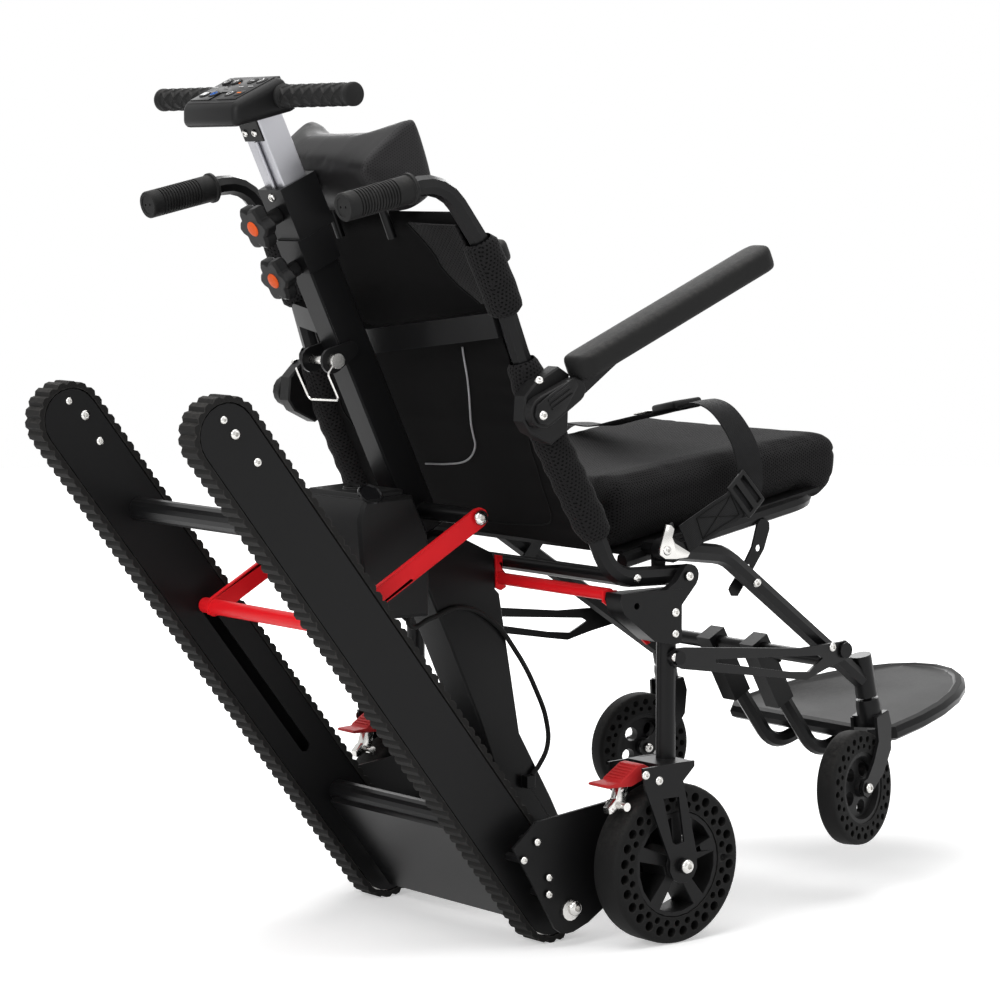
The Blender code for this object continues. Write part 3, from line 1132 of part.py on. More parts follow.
def make_back_panel():
    """The padded fabric back, sewn to the sleeves on both tubes."""
    front, rear, corner = -0.036, 0.004, 0.006
    lines = {reach: offset_line(PANEL_LINE, reach) for reach in (front, front + corner, rear - corner, rear)}
    rings = []
    for i, place in enumerate(PANEL_LINE):
        half = back_x(place[1]) - BOLSTER_RADIUS - 0.0004
        ring = [(half - corner, front), (half, front + corner), (half, rear - corner), (half - corner, rear)]
        ring += [(-x, reach) for x, reach in ring[::-1]]
        rings.append([side(x, lines[reach][i]) for x, reach in ring])
    panel = loft("back_panel", rings, FABRIC)
    return cut(panel, make_sleeve("cutter", -1, CLEARANCE), make_sleeve("cutter", 1, CLEARANCE))


def make_sleeve(name, s, grown):
    """The padded sleeve round a back tube, without its bore."""
    points = [side(s * back_x(p[1]), p) for p in (BACK_LINE[0], *BACK_LINE[1:4], (0.245, 0.860))]
    return tube(name, points, BOLSTER_RADIUS + grown, FABRIC, bend=0.055)


def make_bolster(name, s):
    """The mesh sleeve padded round a back tube."""
    core = tube("core", back_tube_route(s), FRAME_TUBE_RADIUS + 0.0004, None, bend=0.055)
    return cut(make_sleeve(name, s, 0.0), core, make_crossbar(CLEARANCE))


HEADREST_SECTIONS = (
    (0.000, ((0.272, 0.992), (0.288, 1.001), (0.312, 0.998), (0.348, 0.965), (0.346, 0.942), (0.318, 0.914),
             (0.275, 0.905), (0.252, 0.926), (0.262, 0.958))),
    (0.055, ((0.268, 0.993), (0.284, 1.002), (0.309, 0.999), (0.347, 0.965), (0.345, 0.942), (0.316, 0.913),
             (0.275, 0.905), (0.249, 0.926), (0.258, 0.958))),
    (0.085, ((0.262, 1.004), (0.276, 1.012), (0.300, 1.003), (0.345, 0.965), (0.342, 0.941), (0.310, 0.911),
             (0.274, 0.905), (0.243, 0.925), (0.248, 0.956))),
    (0.107, ((0.262, 1.010), (0.274, 1.017), (0.294, 1.004), (0.341, 0.964), (0.338, 0.940), (0.304, 0.909),
             (0.273, 0.906), (0.240, 0.926), (0.242, 0.954))),
    (0.118, ((0.262, 1.006), (0.268, 1.010), (0.288, 0.999), (0.336, 0.962), (0.333, 0.941), (0.300, 0.911),
             (0.273, 0.909), (0.243, 0.928), (0.243, 0.953))))


def make_headrest():
    """The winged headrest on its two rods, which stand on the back panel."""
    rings = [[side(-x, place) for place in outline] for x, outline in HEADREST_SECTIONS[:0:-1]]
    rings += [[side(x, place) for place in outline] for x, outline in HEADREST_SECTIONS]
    cushion = loft("headrest", rings, LEATHER)
    front, rear = offset_line(PANEL_LINE, -0.036)[-1], offset_line(PANEL_LINE, 0.004)[-1]
    run = (Vector(PANEL_LINE[-1]) - Vector(PANEL_LINE[-2])).normalized()
    foot = Vector(front).lerp(Vector(rear), 0.62) + run * CLEARANCE
    for x in (-0.055, 0.055):
        rod = cylinder("rod", side(x, foot), side(x, foot + run * 0.045), 0.006, STEEL, 10)
        fuse(cushion, rod)
    return cushion


def make_arm_bracket(name, s):
    """The moulded bracket that clamps the back tube and holds the arm's pivot."""
    inner, outer = 0.2380, 0.2605
    block = slab(name, [(0.2080, 0.6420), (0.2180, 0.6560), (0.2160, 0.6860), (0.2000, 0.7020), (0.1650, 0.7200),
                        (0.1480, 0.7100), (0.1500, 0.6420), (0.1750, 0.6260)], s * inner, s * outer, PLASTIC, 0.002)
    pin = cylinder("pin", side(s * 0.2560, ARM_PIVOT), side(s * 0.2790, ARM_PIVOT), 0.005, PLASTIC, 10)
    fuse(block, pin)
    return cut(block, make_sleeve("cutter", s, CLEARANCE))


def make_arm(name, s):
    """An arm: lever with its pivot eye and the pad on top, all raised as in use on the stairs."""
    low, high = 0.2608, 0.2760
    rise = math.radians(23.6)
    start = Vector((0.1430, 0.7030))
    run = Vector((-math.cos(rise), math.sin(rise)))
    up = Vector((math.sin(rise), math.cos(rise)))
    length, bend = 0.325, 0.015
    lever_end = start + run * 0.080 + up * 0.003
    lever = slab(name, hull_outline(ARM_PIVOT, 0.0200, (0.1500, 0.6920), 0.0150), s * low, s * high, PLASTIC, 0.0015)
    bar = plate("bar", hull_outline((0.1500, 0.6920), 0.0130, tuple(lever_end), 0.0060, 6), s * 0.2640, s * 0.2720,
                BLACK_PAINT)
    across = Matrix(((1, 0, 0, 0), (0, -run.x, up.x, 0), (0, -run.y, up.y, 0), (0, 0, 0, 1)))
    pad_frame = Matrix.Translation(side(s * ARM_X, tuple(start))) @ across
    reach = 0.025 - bend
    outline = (arc((reach, -bend - 0.002), bend, 0, 90, 4) + arc((-reach, -bend - 0.002), bend, 90, 180, 4)
               + arc((-reach, bend - length), bend, 180, 270, 4) + arc((reach, bend - length), bend, 270, 360, 4))
    pad = slab("pad", outline, 0.001, 0.027, PLASTIC, 0.006, pad_frame, Matrix.Identity(4))
    fuse(lever, bar, pad)
    return cut(lever, bore(side(s * low, ARM_PIVOT), side(s * high, ARM_PIVOT), 0.0053, 10))


def build():
    frame_parts = [make_rear_axle(), make_red_cross_frame(), make_lower_column(), make_battery(), make_cable()]
    column, pin_at = make_column()
    frame_parts.append(column)
    joints = {}
    joints["axle"] = empty("rear_axle_line", side(0, AXLE_AT))
    joints["back"] = empty("back_pivot", side(0, BACK_PIVOT))
    joints["leg"] = empty("leg_pivot", side(0, LEG_PIVOT))
    joints["link"] = empty("link_pivot", side(0, LINK_REAR_PIVOT))
    joints["track"] = empty("track_fold_line", side(0, AXLE_AT))
    joints["drive"] = empty("drive_axle_line", side(0, TRACK_AXLE_AT))
    joints["idler"] = empty("idler_line", TRACK @ Vector((0, TRACK_CENTRE_DISTANCE, 0)))
    joints["red"] = empty("red_arm_pivot", side(0, RED_ARM_PIVOT))
    joints["footrest"] = empty("footrest_hinge", side(0, FRONT_TUBE_AT))
    joints["handle"] = empty("handle_slide", COLUMN @ Vector((0, 0, SOCKET_HIGH)))
    joints["arm"] = empty("arm_pivot", side(0, ARM_PIVOT))

    for name, s in SIDES:
        frame_parts.append(make_post(name + "_post", s))
        carry(joints["axle"], *make_rear_wheel(name, s))
        brake = make_brake(name, s)
        carry(empty(name + "_brake_pivot", (s * REAR_WHEEL_X, 0.055, 0.212)), brake)
        carry(joints["track"], make_track_frame(name + "_track_frame", s),
              make_mounting_plate(name + "_mounting_plate", s), make_belt(name + "_track_belt", s))
        carry(joints["idler"], make_idler(name + "_idler_pulley", s))
        carry(joints["leg"], make_leg(name + "_front_leg", s))
        carry(joints["link"], make_link(name + "_brace_link", s))
        fork, wheel = make_caster(name, s)
        head = side(s * leg_x(HEAD_TUBE_AT[0]), HEAD_TUBE_AT)
        carry(empty(name + "_caster_line", head), fork, wheel)
        carry(joints["back"], make_grip(name + "_push_grip", s), make_bolster(name + "_bolster", s),
              make_arm_bracket(name + "_arm_bracket", s))
        carry(joints["arm"], make_arm(name + "_armrest", s))

    carry(joints["track"], *make_track_tubes())
    drive_unit, drive_axle = make_drive()
    carry(joints["track"], drive_unit)
    carry(joints["drive"], drive_axle)
    carry(joints["red"], make_red_arm())
    carry(joints["leg"], make_front_tube(), make_seat_frame(), make_cushion(), make_lap_belt())
    carry(joints["footrest"], make_footrest())
    carry(joints["back"], make_back_frame(), make_back_panel(), make_headrest())
    upper = COLUMN @ Matrix.Translation((0, 0, 0.3963))
    lower = COLUMN @ Matrix.Translation((0, 0, 0.3268))
    carry(empty("upper_knob_line", upper.translation), make_knob("upper_clamp_knob", upper, 0.0013, 0.0430))
    carry(empty("lower_knob_line", lower.translation), make_knob("lower_clamp_knob", lower, 0.0053, 0.0435))
    carry(empty("lock_pin_line", pin_at), make_lock_pin())
    carry(joints["handle"], *make_handle())

    root = empty("stair_chair_root", (0, 0, 0))
    for thing in list(PARTS.objects):
        if thing.parent is None and thing is not root:
            carry(root, thing)
    stand_on_origin(root)


def stand_on_origin(root):
    """Move the chair so that its origin is under the middle of its bounding box."""
    bpy.context.view_layer.update()
    corners = [part.matrix_world @ vertex.co for part in PARTS.objects if part.type == "MESH"
               for vertex in part.data.vertices]
    low = [min(c[i] for c in corners) for i in range(3)]
    high = [max(c[i] for c in corners) for i in range(3)]
    root.location = (0.0, -(low[1] + high[1]) / 2, -low[2])
    bpy.context.view_layer.update()
    print("chair moved by", [round(v, 5) for v in root.location])
    print("size", [round(b - a, 4) for a, b in zip(low, high)])
    print("triangles", sum(len(p.vertices) - 2 for part in PARTS.objects if part.type == "MESH"
                           for p in part.data.polygons))


build()
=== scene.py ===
# %% [markdown]
# A tracked stair chair is a wheelchair with a pair of lugged rubber tracks folded behind it.
# The CAD model gives every solid its size and place. This file dresses it: each cell makes one kind of
# piece or finish, and says first what it is on the real chair and why it is made this way.

# %% Load the frame
import json
import math

import bpy
from mathutils import Euler, Matrix, Vector


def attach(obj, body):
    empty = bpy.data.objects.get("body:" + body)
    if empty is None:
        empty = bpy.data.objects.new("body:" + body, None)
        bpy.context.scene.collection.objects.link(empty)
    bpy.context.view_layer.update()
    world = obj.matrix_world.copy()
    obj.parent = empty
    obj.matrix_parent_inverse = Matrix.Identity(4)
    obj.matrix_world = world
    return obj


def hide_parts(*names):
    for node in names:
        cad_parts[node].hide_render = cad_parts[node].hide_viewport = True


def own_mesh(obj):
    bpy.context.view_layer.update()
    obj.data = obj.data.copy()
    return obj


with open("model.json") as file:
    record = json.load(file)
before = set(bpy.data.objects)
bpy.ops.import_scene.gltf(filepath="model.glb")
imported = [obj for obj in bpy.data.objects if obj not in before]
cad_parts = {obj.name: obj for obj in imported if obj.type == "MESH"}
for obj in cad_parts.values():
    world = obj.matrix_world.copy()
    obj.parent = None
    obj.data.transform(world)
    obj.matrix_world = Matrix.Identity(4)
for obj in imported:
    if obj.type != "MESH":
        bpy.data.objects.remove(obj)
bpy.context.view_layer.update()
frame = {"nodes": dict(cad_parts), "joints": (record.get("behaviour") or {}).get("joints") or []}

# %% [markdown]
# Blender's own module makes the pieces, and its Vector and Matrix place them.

nodes = frame["nodes"]

# %% [markdown]
# Sizes in the drawing of the chair are measured from its rear axle, and the frame's zero lies a little
# in front of that. One small function moves a point from the one to the other, so that every number
# below can be read as a distance behind the axle and a height over the floor.

# %% Places measured from the rear axle
AXLE_Y = 0.04956
SIDES = (("right", -1), ("left", 1))
WHEEL_X = 0.268
SEAT_SLOPE = 0.1885
COLUMN_FOOT = (0.222, 0.543)
COLUMN_LEAN = math.radians(25.3)


def at(x, y, z):
    """A point in the frame, from its distance behind the rear axle and its height over the floor."""
    return Vector((x, y + AXLE_Y, z))


def column(x, back, along):
    """A point beside the leaning column: so far behind its middle line, and so far up along it."""
    y = COLUMN_FOOT[0] + back * math.cos(COLUMN_LEAN) + along * math.sin(COLUMN_LEAN)
    z = COLUMN_FOOT[1] - back * math.sin(COLUMN_LEAN) + along * math.cos(COLUMN_LEAN)
    return at(x, y, z)


def seat_z(y):
    """The height of the seat's plane."""
    return 0.500 - SEAT_SLOPE * (y + 0.08)


def pair(*names):
    """The right and the left one of each of these."""
    return [side + "_" + name for name in names for side, _ in SIDES]


print("the column's top is at", [round(v, 3) for v in column(0, 0, 0.559)])

# %% [markdown]
# The camera stands behind the chair's right side, low and far away, as a product photographer's does.
# A long lens keeps the tracks and wheels in proportion. Its place was found by matching known points of
# the frame with the photograph.

# %% Camera
camera_data = bpy.data.cameras.new("camera")
camera_data.lens = 126.0
camera_data.clip_end = 30.0
camera = bpy.data.objects.new("camera", camera_data)
camera.location = (-3.5399, 2.82656, 0.9473)
camera.rotation_euler = Euler((math.radians(84.713), 0, math.radians(-127.573)))
bpy.context.scene.collection.objects.link(camera)
bpy.context.scene.camera = camera
bpy.context.scene.view_settings.view_transform = "Standard"
print("camera", round(camera.location.length, 2), "metres from the frame's zero")

# %% [markdown]
# A node tree reads best when each line adds one node or one wire. These two helpers keep it that short.

# %% Helpers for node trees


def add(tree, kind, inputs=(), **settings):
    """A new node, with settings by name and values for some of its sockets."""
    node = tree.nodes.new("ShaderNode" + kind)
    for name, value in settings.items():
        setattr(node, name, value)
    for name, value in dict(inputs).items():
        node.inputs[name].default_value = value
    return node


def wire(tree, *pairs):
    """Joins sockets, given as pairs of an output and an input."""
    for source, target in pairs:
        tree.links.new(source, target)


def new_group(name, inputs, outputs):
    """An empty node group with these sockets, given as name: default value."""
    group = bpy.data.node_groups.new(name, "ShaderNodeTree")
    for socket, value in inputs.items():
        made = group.interface.new_socket(socket, in_out="INPUT", socket_type="NodeSocketFloat")
        made.default_value = value
    for socket, kind in outputs.items():
        group.interface.new_socket(socket, in_out="OUTPUT", socket_type="NodeSocket" + kind)
    return group, group.nodes.new("NodeGroupInput"), group.nodes.new("NodeGroupOutput")


def use_group(tree, group, **inputs):
    """A node that stands for a group, with values for its inputs."""
    node = tree.nodes.new("ShaderNodeGroup")
    node.node_tree = group
    for name, value in inputs.items():
        node.inputs[name].default_value = value
    return node


# %% [markdown]
# Paint, moulded plastic and rubber all have a fine grain, and tones that drift a little over a surface.
# One group gives both from object coordinates, so the grain has its real size on every part.

# %% Group: grain
grain_group, start, end = new_group("grain", {"Scale": 900.0}, {"Height": "Float", "Drift": "Float"})
place = add(grain_group, "TexCoord")
fine = add(grain_group, "TexNoise", {"Detail": 3.0, "Roughness": 0.55})
broad = add(grain_group, "TexNoise", {"Scale": 9.0, "Detail": 4.0})
wire(grain_group, (place.outputs["Object"], fine.inputs["Vector"]), (start.outputs["Scale"], fine.inputs["Scale"]),
     (place.outputs["Object"], broad.inputs["Vector"]), (fine.outputs["Fac"], end.inputs["Height"]),
     (broad.outputs["Fac"], end.inputs["Drift"]))
print("group", grain_group.name)

# %% [markdown]
# Edges catch knocks first. A Bevel node rounds the shading normal near an edge, so where it differs from
# the true normal there is an edge, and a broken noise turns that line into chips and rubbed spots.

# %% Group: edge wear
wear_group, start, end = new_group("edge_wear", {"Spread": 0.5}, {"Mask": "Float"})
bevel = add(wear_group, "Bevel", {"Radius": 0.0016}, samples=4)
shape = add(wear_group, "NewGeometry")
likeness = add(wear_group, "VectorMath", operation="DOT_PRODUCT")
line = add(wear_group, "MapRange", {"From Min": 0.995, "From Max": 0.86})
place = add(wear_group, "TexCoord")
patches = add(wear_group, "TexNoise", {"Scale": 60.0, "Detail": 6.0, "Roughness": 0.7})
broken = add(wear_group, "MapRange", {"From Min": 0.42, "From Max": 0.62})
both = add(wear_group, "Math", operation="MULTIPLY")
share = add(wear_group, "Math", operation="MULTIPLY")
wire(wear_group, (bevel.outputs[0], likeness.inputs[0]), (shape.outputs["Normal"], likeness.inputs[1]),
     (likeness.outputs["Value"], line.inputs["Value"]), (place.outputs["Object"], patches.inputs["Vector"]),
     (patches.outputs["Fac"], broken.inputs["Value"]), (line.outputs[0], both.inputs[0]),
     (broken.outputs[0], both.inputs[1]), (both.outputs[0], share.inputs[0]),
     (start.outputs["Spread"], share.inputs[1]), (share.outputs[0], end.inputs["Mask"]))
print("group", wear_group.name)

# %% [markdown]
# Dust settles where a surface faces up. The normal's height gives that, and a noise makes it uneven.

# %% Group: dust
dust_group, start, end = new_group("dust", {"Amount": 0.3}, {"Mask": "Float"})
place = add(dust_group, "TexCoord")
axes = add(dust_group, "SeparateXYZ")
upward = add(dust_group, "MapRange", {"From Min": 0.1, "From Max": 1.0})
specks = add(dust_group, "TexNoise", {"Scale": 140.0, "Detail": 8.0, "Roughness": 0.75})
grains = add(dust_group, "MapRange", {"From Min": 0.40, "From Max": 0.75})
both = add(dust_group, "Math", operation="MULTIPLY")
share = add(dust_group, "Math", operation="MULTIPLY")
wire(dust_group, (place.outputs["Normal"], axes.inputs[0]), (axes.outputs["Z"], upward.inputs["Value"]),
     (place.outputs["Object"], specks.inputs["Vector"]), (specks.outputs["Fac"], grains.inputs["Value"]),
     (upward.outputs[0], both.inputs[0]), (grains.outputs[0], both.inputs[1]), (both.outputs[0], share.inputs[0]),
     (start.outputs["Amount"], share.inputs[1]), (share.outputs[0], end.inputs["Mask"]))
print("group", dust_group.name)

# %% [markdown]
# A woven or knitted pattern is flat, and a cushion isn't. This group picks, at each spot, the two axes
# that lie along the cloth there, which keeps the holes round on the top and on the sides.

# %% Group: flat coordinates on any side
flat_group, start, end = new_group("flat_coordinates", {"Scale": 1.0}, {"Vector": "Vector"})
place = add(flat_group, "TexCoord")
spot = add(flat_group, "SeparateXYZ")
facing = add(flat_group, "VectorMath", operation="ABSOLUTE")
sides = add(flat_group, "SeparateXYZ")
across = add(flat_group, "CombineXYZ")
length = add(flat_group, "CombineXYZ")
above = add(flat_group, "CombineXYZ")
x_most = add(flat_group, "Math", operation="GREATER_THAN")
y_most = add(flat_group, "Math", operation="GREATER_THAN")
first = add(flat_group, "Mix", data_type="VECTOR")
second = add(flat_group, "Mix", data_type="VECTOR")
sized = add(flat_group, "VectorMath", operation="SCALE")
wire(flat_group, (place.outputs["Object"], spot.inputs[0]), (place.outputs["Normal"], facing.inputs[0]),
     (facing.outputs[0], sides.inputs[0]),
     (spot.outputs["Y"], across.inputs["X"]), (spot.outputs["Z"], across.inputs["Y"]),
     (spot.outputs["X"], length.inputs["X"]), (spot.outputs["Z"], length.inputs["Y"]),
     (spot.outputs["X"], above.inputs["X"]), (spot.outputs["Y"], above.inputs["Y"]),
     (sides.outputs["Y"], y_most.inputs[0]), (sides.outputs["Z"], y_most.inputs[1]),
     (sides.outputs["X"], x_most.inputs[0]))
highest = add(flat_group, "Math", operation="MAXIMUM")
wire(flat_group, (sides.outputs["Y"], highest.inputs[0]), (sides.outputs["Z"], highest.inputs[1]),
     (highest.outputs[0], x_most.inputs[1]),
     (y_most.outputs[0], first.inputs["Factor"]), (above.outputs[0], first.inputs[4]),
     (length.outputs[0], first.inputs[5]), (x_most.outputs[0], second.inputs["Factor"]),
     (first.outputs[1], second.inputs[4]), (across.outputs[0], second.inputs[5]),
     (second.outputs[1], sized.inputs[0]), (start.outputs["Scale"], sized.inputs["Scale"]),
     (sized.outputs[0], end.inputs["Vector"]))
print("group", flat_group.name)

# %% [markdown]
# Spacer mesh is a knit with a honeycomb of small holes. Three waves at 60 degrees to each other add up
# to a peak at every cell's middle, and a cut-off turns the peaks into holes.

# %% Group: honeycomb
comb_group, start, end = new_group("honeycomb", {"Size": 0.004}, {"Hole": "Float"})
flat = use_group(comb_group, flat_group)
turn = add(comb_group, "Math", {0: 7.2552}, operation="DIVIDE")
wire(comb_group, (start.outputs["Size"], turn.inputs[1]), (turn.outputs[0], flat.inputs["Scale"]))
total = None
for degrees in (0, 60, 120):
    direction = (math.cos(math.radians(degrees)), math.sin(math.radians(degrees)), 0)
    along = add(comb_group, "VectorMath", {1: direction}, operation="DOT_PRODUCT")
    wave = add(comb_group, "Math", operation="COSINE")
    wire(comb_group, (flat.outputs[0], along.inputs[0]), (along.outputs["Value"], wave.inputs[0]))
    if total is None:
        total = wave
    else:
        sum_ = add(comb_group, "Math", operation="ADD")
        wire(comb_group, (total.outputs[0], sum_.inputs[0]), (wave.outputs[0], sum_.inputs[1]))
        total = sum_
hole = add(comb_group, "MapRange", {"From Min": 0.2, "From Max": 1.6}, interpolation_type="SMOOTHSTEP")
wire(comb_group, (total.outputs[0], hole.inputs["Value"]), (hole.outputs[0], end.inputs["Hole"]))
print("group", comb_group.name)

# %% [markdown]
# Woven cloth is threads that pass over and under each other. Two sine waves, one for each set of
# threads, multiplied together, give the small raised squares of a plain weave.

# %% Group: weave
weave_group, start, end = new_group("weave", {"Thread": 0.001}, {"Height": "Float"})
flat = use_group(weave_group, flat_group)
turn = add(weave_group, "Math", {0: math.pi}, operation="DIVIDE")
parts = add(weave_group, "SeparateXYZ")
warp = add(weave_group, "Math", operation="SINE")
weft = add(weave_group, "Math", operation="SINE")
crossing = add(weave_group, "Math", operation="MULTIPLY")
level = add(weave_group, "MapRange", {"From Min": -1.0, "From Max": 1.0})
wire(weave_group, (start.outputs["Thread"], turn.inputs[1]), (turn.outputs[0], flat.inputs["Scale"]),
     (flat.outputs[0], parts.inputs[0]), (parts.outputs["X"], warp.inputs[0]), (parts.outputs["Y"], weft.inputs[0]),
     (warp.outputs[0], crossing.inputs[0]), (weft.outputs[0], crossing.inputs[1]),
     (crossing.outputs[0], level.inputs["Value"]), (level.outputs[0], end.inputs["Height"]))
print("group", weave_group.name)

# %% [markdown]
# Most hard surfaces here differ only in colour, gloss and grain, so one recipe paints them all: the
# colour drifts a little, edges wear to a second colour, dust lies on top, and the grain lifts the normal.
# In a white room even matt black paint mirrors enough to look grey. So what isn't metal mirrors less than
# the shader's usual level, which keeps the chair's blacks as deep as they are.

# %% Recipe for hard surfaces
METAL_MIRROR, MIRROR = 0.5, 0.15


def hard_finish(name, colour, roughness, grain=900.0, lift=0.00002, metallic=0.0, worn=(0.12, 0.12, 0.12),
                wear=0.25, dust=0.03):
    """A painted, moulded or metal surface with grain, edge wear and dust."""
    material = bpy.data.materials.new(name)
    material.use_nodes = True
    tree = material.node_tree
    shader = tree.nodes["Principled BSDF"]
    shader.inputs["Metallic"].default_value = metallic
    shader.inputs["Specular IOR Level"].default_value = METAL_MIRROR if metallic else MIRROR
    grained = use_group(tree, grain_group, Scale=grain)
    edges = use_group(tree, wear_group, Spread=wear)
    dusty = use_group(tree, dust_group, Amount=dust)
    tone = add(tree, "Mix", data_type="RGBA")
    tone.inputs[6].default_value = (*[c * 0.82 for c in colour], 1)
    tone.inputs[7].default_value = (*[min(1.0, c * 1.18) for c in colour], 1)
    rubbed = add(tree, "Mix", data_type="RGBA")
    rubbed.inputs[7].default_value = (*worn, 1)
    coated = add(tree, "Mix", data_type="RGBA")
    coated.inputs[7].default_value = (0.30, 0.28, 0.26, 1)
    gloss = add(tree, "MapRange", {"To Min": roughness - 0.05, "To Max": roughness + 0.06})
    bump = add(tree, "Bump", {"Strength": 1.0, "Distance": lift})
    wire(tree, (grained.outputs["Drift"], tone.inputs["Factor"]), (tone.outputs[2], rubbed.inputs[6]),
         (edges.outputs[0], rubbed.inputs["Factor"]), (rubbed.outputs[2], coated.inputs[6]),
         (dusty.outputs[0], coated.inputs["Factor"]), (coated.outputs[2], shader.inputs["Base Color"]),
         (grained.outputs["Drift"], gloss.inputs["Value"]), (gloss.outputs[0], shader.inputs["Roughness"]),
         (grained.outputs["Height"], bump.inputs["Height"]), (bump.outputs[0], shader.inputs["Normal"]))
    return material


BLACK_COAT = hard_finish("black_powder_coat", (0.0060, 0.0060, 0.0064), 0.31, 700.0, 0.00004,
                         worn=(0.08, 0.08, 0.085))
DARK_COAT = hard_finish("matt_black_coat", (0.0050, 0.0050, 0.0053), 0.42, 800.0, 0.00003,
                        worn=(0.06, 0.06, 0.065))
RED_COAT = hard_finish("red_powder_coat", (0.80, 0.012, 0.018), 0.34, 700.0, 0.00003, worn=(0.75, 0.12, 0.10))
CASE = hard_finish("black_moulded_plastic", (0.0085, 0.0085, 0.0088), 0.42, 1500.0, 0.00006,
                   worn=(0.06, 0.06, 0.06))
RED_MOULDED = hard_finish("red_moulded_plastic", (0.50, 0.022, 0.024), 0.46, 1500.0, 0.00004,
                          worn=(0.70, 0.12, 0.10))
ORANGE = hard_finish("orange_plastic", (0.83, 0.115, 0.022), 0.50, 1500.0, 0.00003, worn=(0.9, 0.3, 0.15))
STEEL = hard_finish("bright_steel", (0.62, 0.61, 0.59), 0.20, 400.0, 0.00001, 1.0, (0.75, 0.75, 0.75), dust=0.02)
ALUMINIUM = hard_finish("satin_aluminium", (0.34, 0.34, 0.36), 0.34, 300.0, 0.00001, 1.0, (0.6, 0.6, 0.6))
print("hard finishes:", BLACK_COAT.name, DARK_COAT.name, RED_COAT.name, CASE.name, RED_MOULDED.name, ORANGE.name,
      STEEL.name, ALUMINIUM.name)

# %% [markdown]
# Rubber has no gloss to speak of. Its tones are duller where feet, hands and floors have polished it,
# and dust sits in its pores, so it gets more dust and a coarser grain than plastic.

# %% Rubber finishes
TYRE = hard_finish("tyre_rubber", (0.0090, 0.0090, 0.0090), 0.72, 1100.0, 0.00010,
                   worn=(0.07, 0.068, 0.066), wear=0.5, dust=0.14)
BELT = hard_finish("belt_rubber", (0.0110, 0.0106, 0.0103), 0.74, 1000.0, 0.00012,
                   worn=(0.10, 0.095, 0.09), wear=0.6, dust=0.18)
GRIP = hard_finish("grip_rubber", (0.0105, 0.0105, 0.0105), 0.60, 1300.0, 0.00006,
                   worn=(0.07, 0.07, 0.07), wear=0.4, dust=0.10)
print("rubber finishes:", TYRE.name, BELT.name, GRIP.name)

# %% [markdown]
# Cloth scatters light at its edges, which the Principled shader's sheen gives. Spacer mesh covers the seat and
# the padded sleeves: the honeycomb lowers its holes in the bump, and their near-black colour is painted shade.

# %% Fabric finishes


def cloth(name, colour, roughness, sheen):
    """A cloth material to build on: returns it with its tree and shader."""
    material = bpy.data.materials.new(name)
    material.use_nodes = True
    shader = material.node_tree.nodes["Principled BSDF"]
    shader.inputs["Base Color"].default_value = (*colour, 1)
    shader.inputs["Roughness"].default_value = roughness
    shader.inputs["Sheen Weight"].default_value = sheen
    shader.inputs["Sheen Roughness"].default_value = 0.45
    shader.inputs["Specular IOR Level"].default_value = MIRROR / 2
    return material, material.node_tree, shader


def mesh_cloth(name, colour, painted_hole_shade, size, lift):
    """A knit with a honeycomb of holes of this size, with painted shade in its holes."""
    material, tree, shader = cloth(name, colour, 0.85, 0.06)
    comb = use_group(tree, comb_group, Size=size)
    yarn = use_group(tree, weave_group, Thread=0.0006)
    # The second colour is painted shade: it darkens the holes, where shade falls inside the knit.
    holes = add(tree, "Mix", data_type="RGBA")
    holes.inputs[6].default_value = (*colour, 1)
    holes.inputs[7].default_value = (*painted_hole_shade, 1)
    depth = add(tree, "Math", {1: -1.0}, operation="MULTIPLY")
    surface = add(tree, "Math", {1: 0.12}, operation="MULTIPLY_ADD")
    bump = add(tree, "Bump", {"Strength": 1.0, "Distance": lift})
    wire(tree, (comb.outputs["Hole"], holes.inputs["Factor"]), (holes.outputs[2], shader.inputs["Base Color"]),
         (comb.outputs["Hole"], depth.inputs[0]), (yarn.outputs[0], surface.inputs[0]),
         (depth.outputs[0], surface.inputs[2]), (surface.outputs[0], bump.inputs["Height"]),
         (bump.outputs[0], shader.inputs["Normal"]))
    return material


def woven_cloth(name, colour, thread, lift, roughness=0.78, sheen=0.05):
    """A plain weave with threads this far apart."""
    material, tree, shader = cloth(name, colour, roughness, sheen)
    yarn = use_group(tree, weave_group, Thread=thread)
    grained = use_group(tree, grain_group, Scale=60.0)
    tone = add(tree, "Mix", data_type="RGBA")
    tone.inputs[6].default_value = (*[c * 0.7 for c in colour], 1)
    tone.inputs[7].default_value = (*[c * 1.3 for c in colour], 1)
    bump = add(tree, "Bump", {"Strength": 1.0, "Distance": lift})
    wire(tree, (grained.outputs["Height"], tone.inputs["Factor"]), (tone.outputs[2], shader.inputs["Base Color"]),
         (yarn.outputs[0], bump.inputs["Height"]), (bump.outputs[0], shader.inputs["Normal"]))
    return material


# The third colour of each spacer mesh is painted shade for the inside of its holes.
SEAT_MESH = mesh_cloth("seat_spacer_mesh", (0.0185, 0.0178, 0.0185), (0.0012, 0.0012, 0.0012), 0.0040, 0.0007)
SLEEVE_MESH = mesh_cloth("sleeve_mesh", (0.0150, 0.0145, 0.0150), (0.0012, 0.0012, 0.0012), 0.0050, 0.0008)
PANEL_CLOTH = woven_cloth("panel_nylon", (0.0018, 0.0017, 0.0018), 0.0011, 0.00012, 0.85, 0.02)
WEBBING = woven_cloth("webbing", (0.0125, 0.0125, 0.0130), 0.0014, 0.00025, 0.62)
THREAD = woven_cloth("stitching_thread", (0.004, 0.004, 0.004), 0.0005, 0.00005)
PIPING = woven_cloth("silver_piping", (0.34, 0.34, 0.35), 0.0008, 0.00006, 0.45)
print("cloth finishes:", SEAT_MESH.name, SLEEVE_MESH.name, PANEL_CLOTH.name, WEBBING.name)
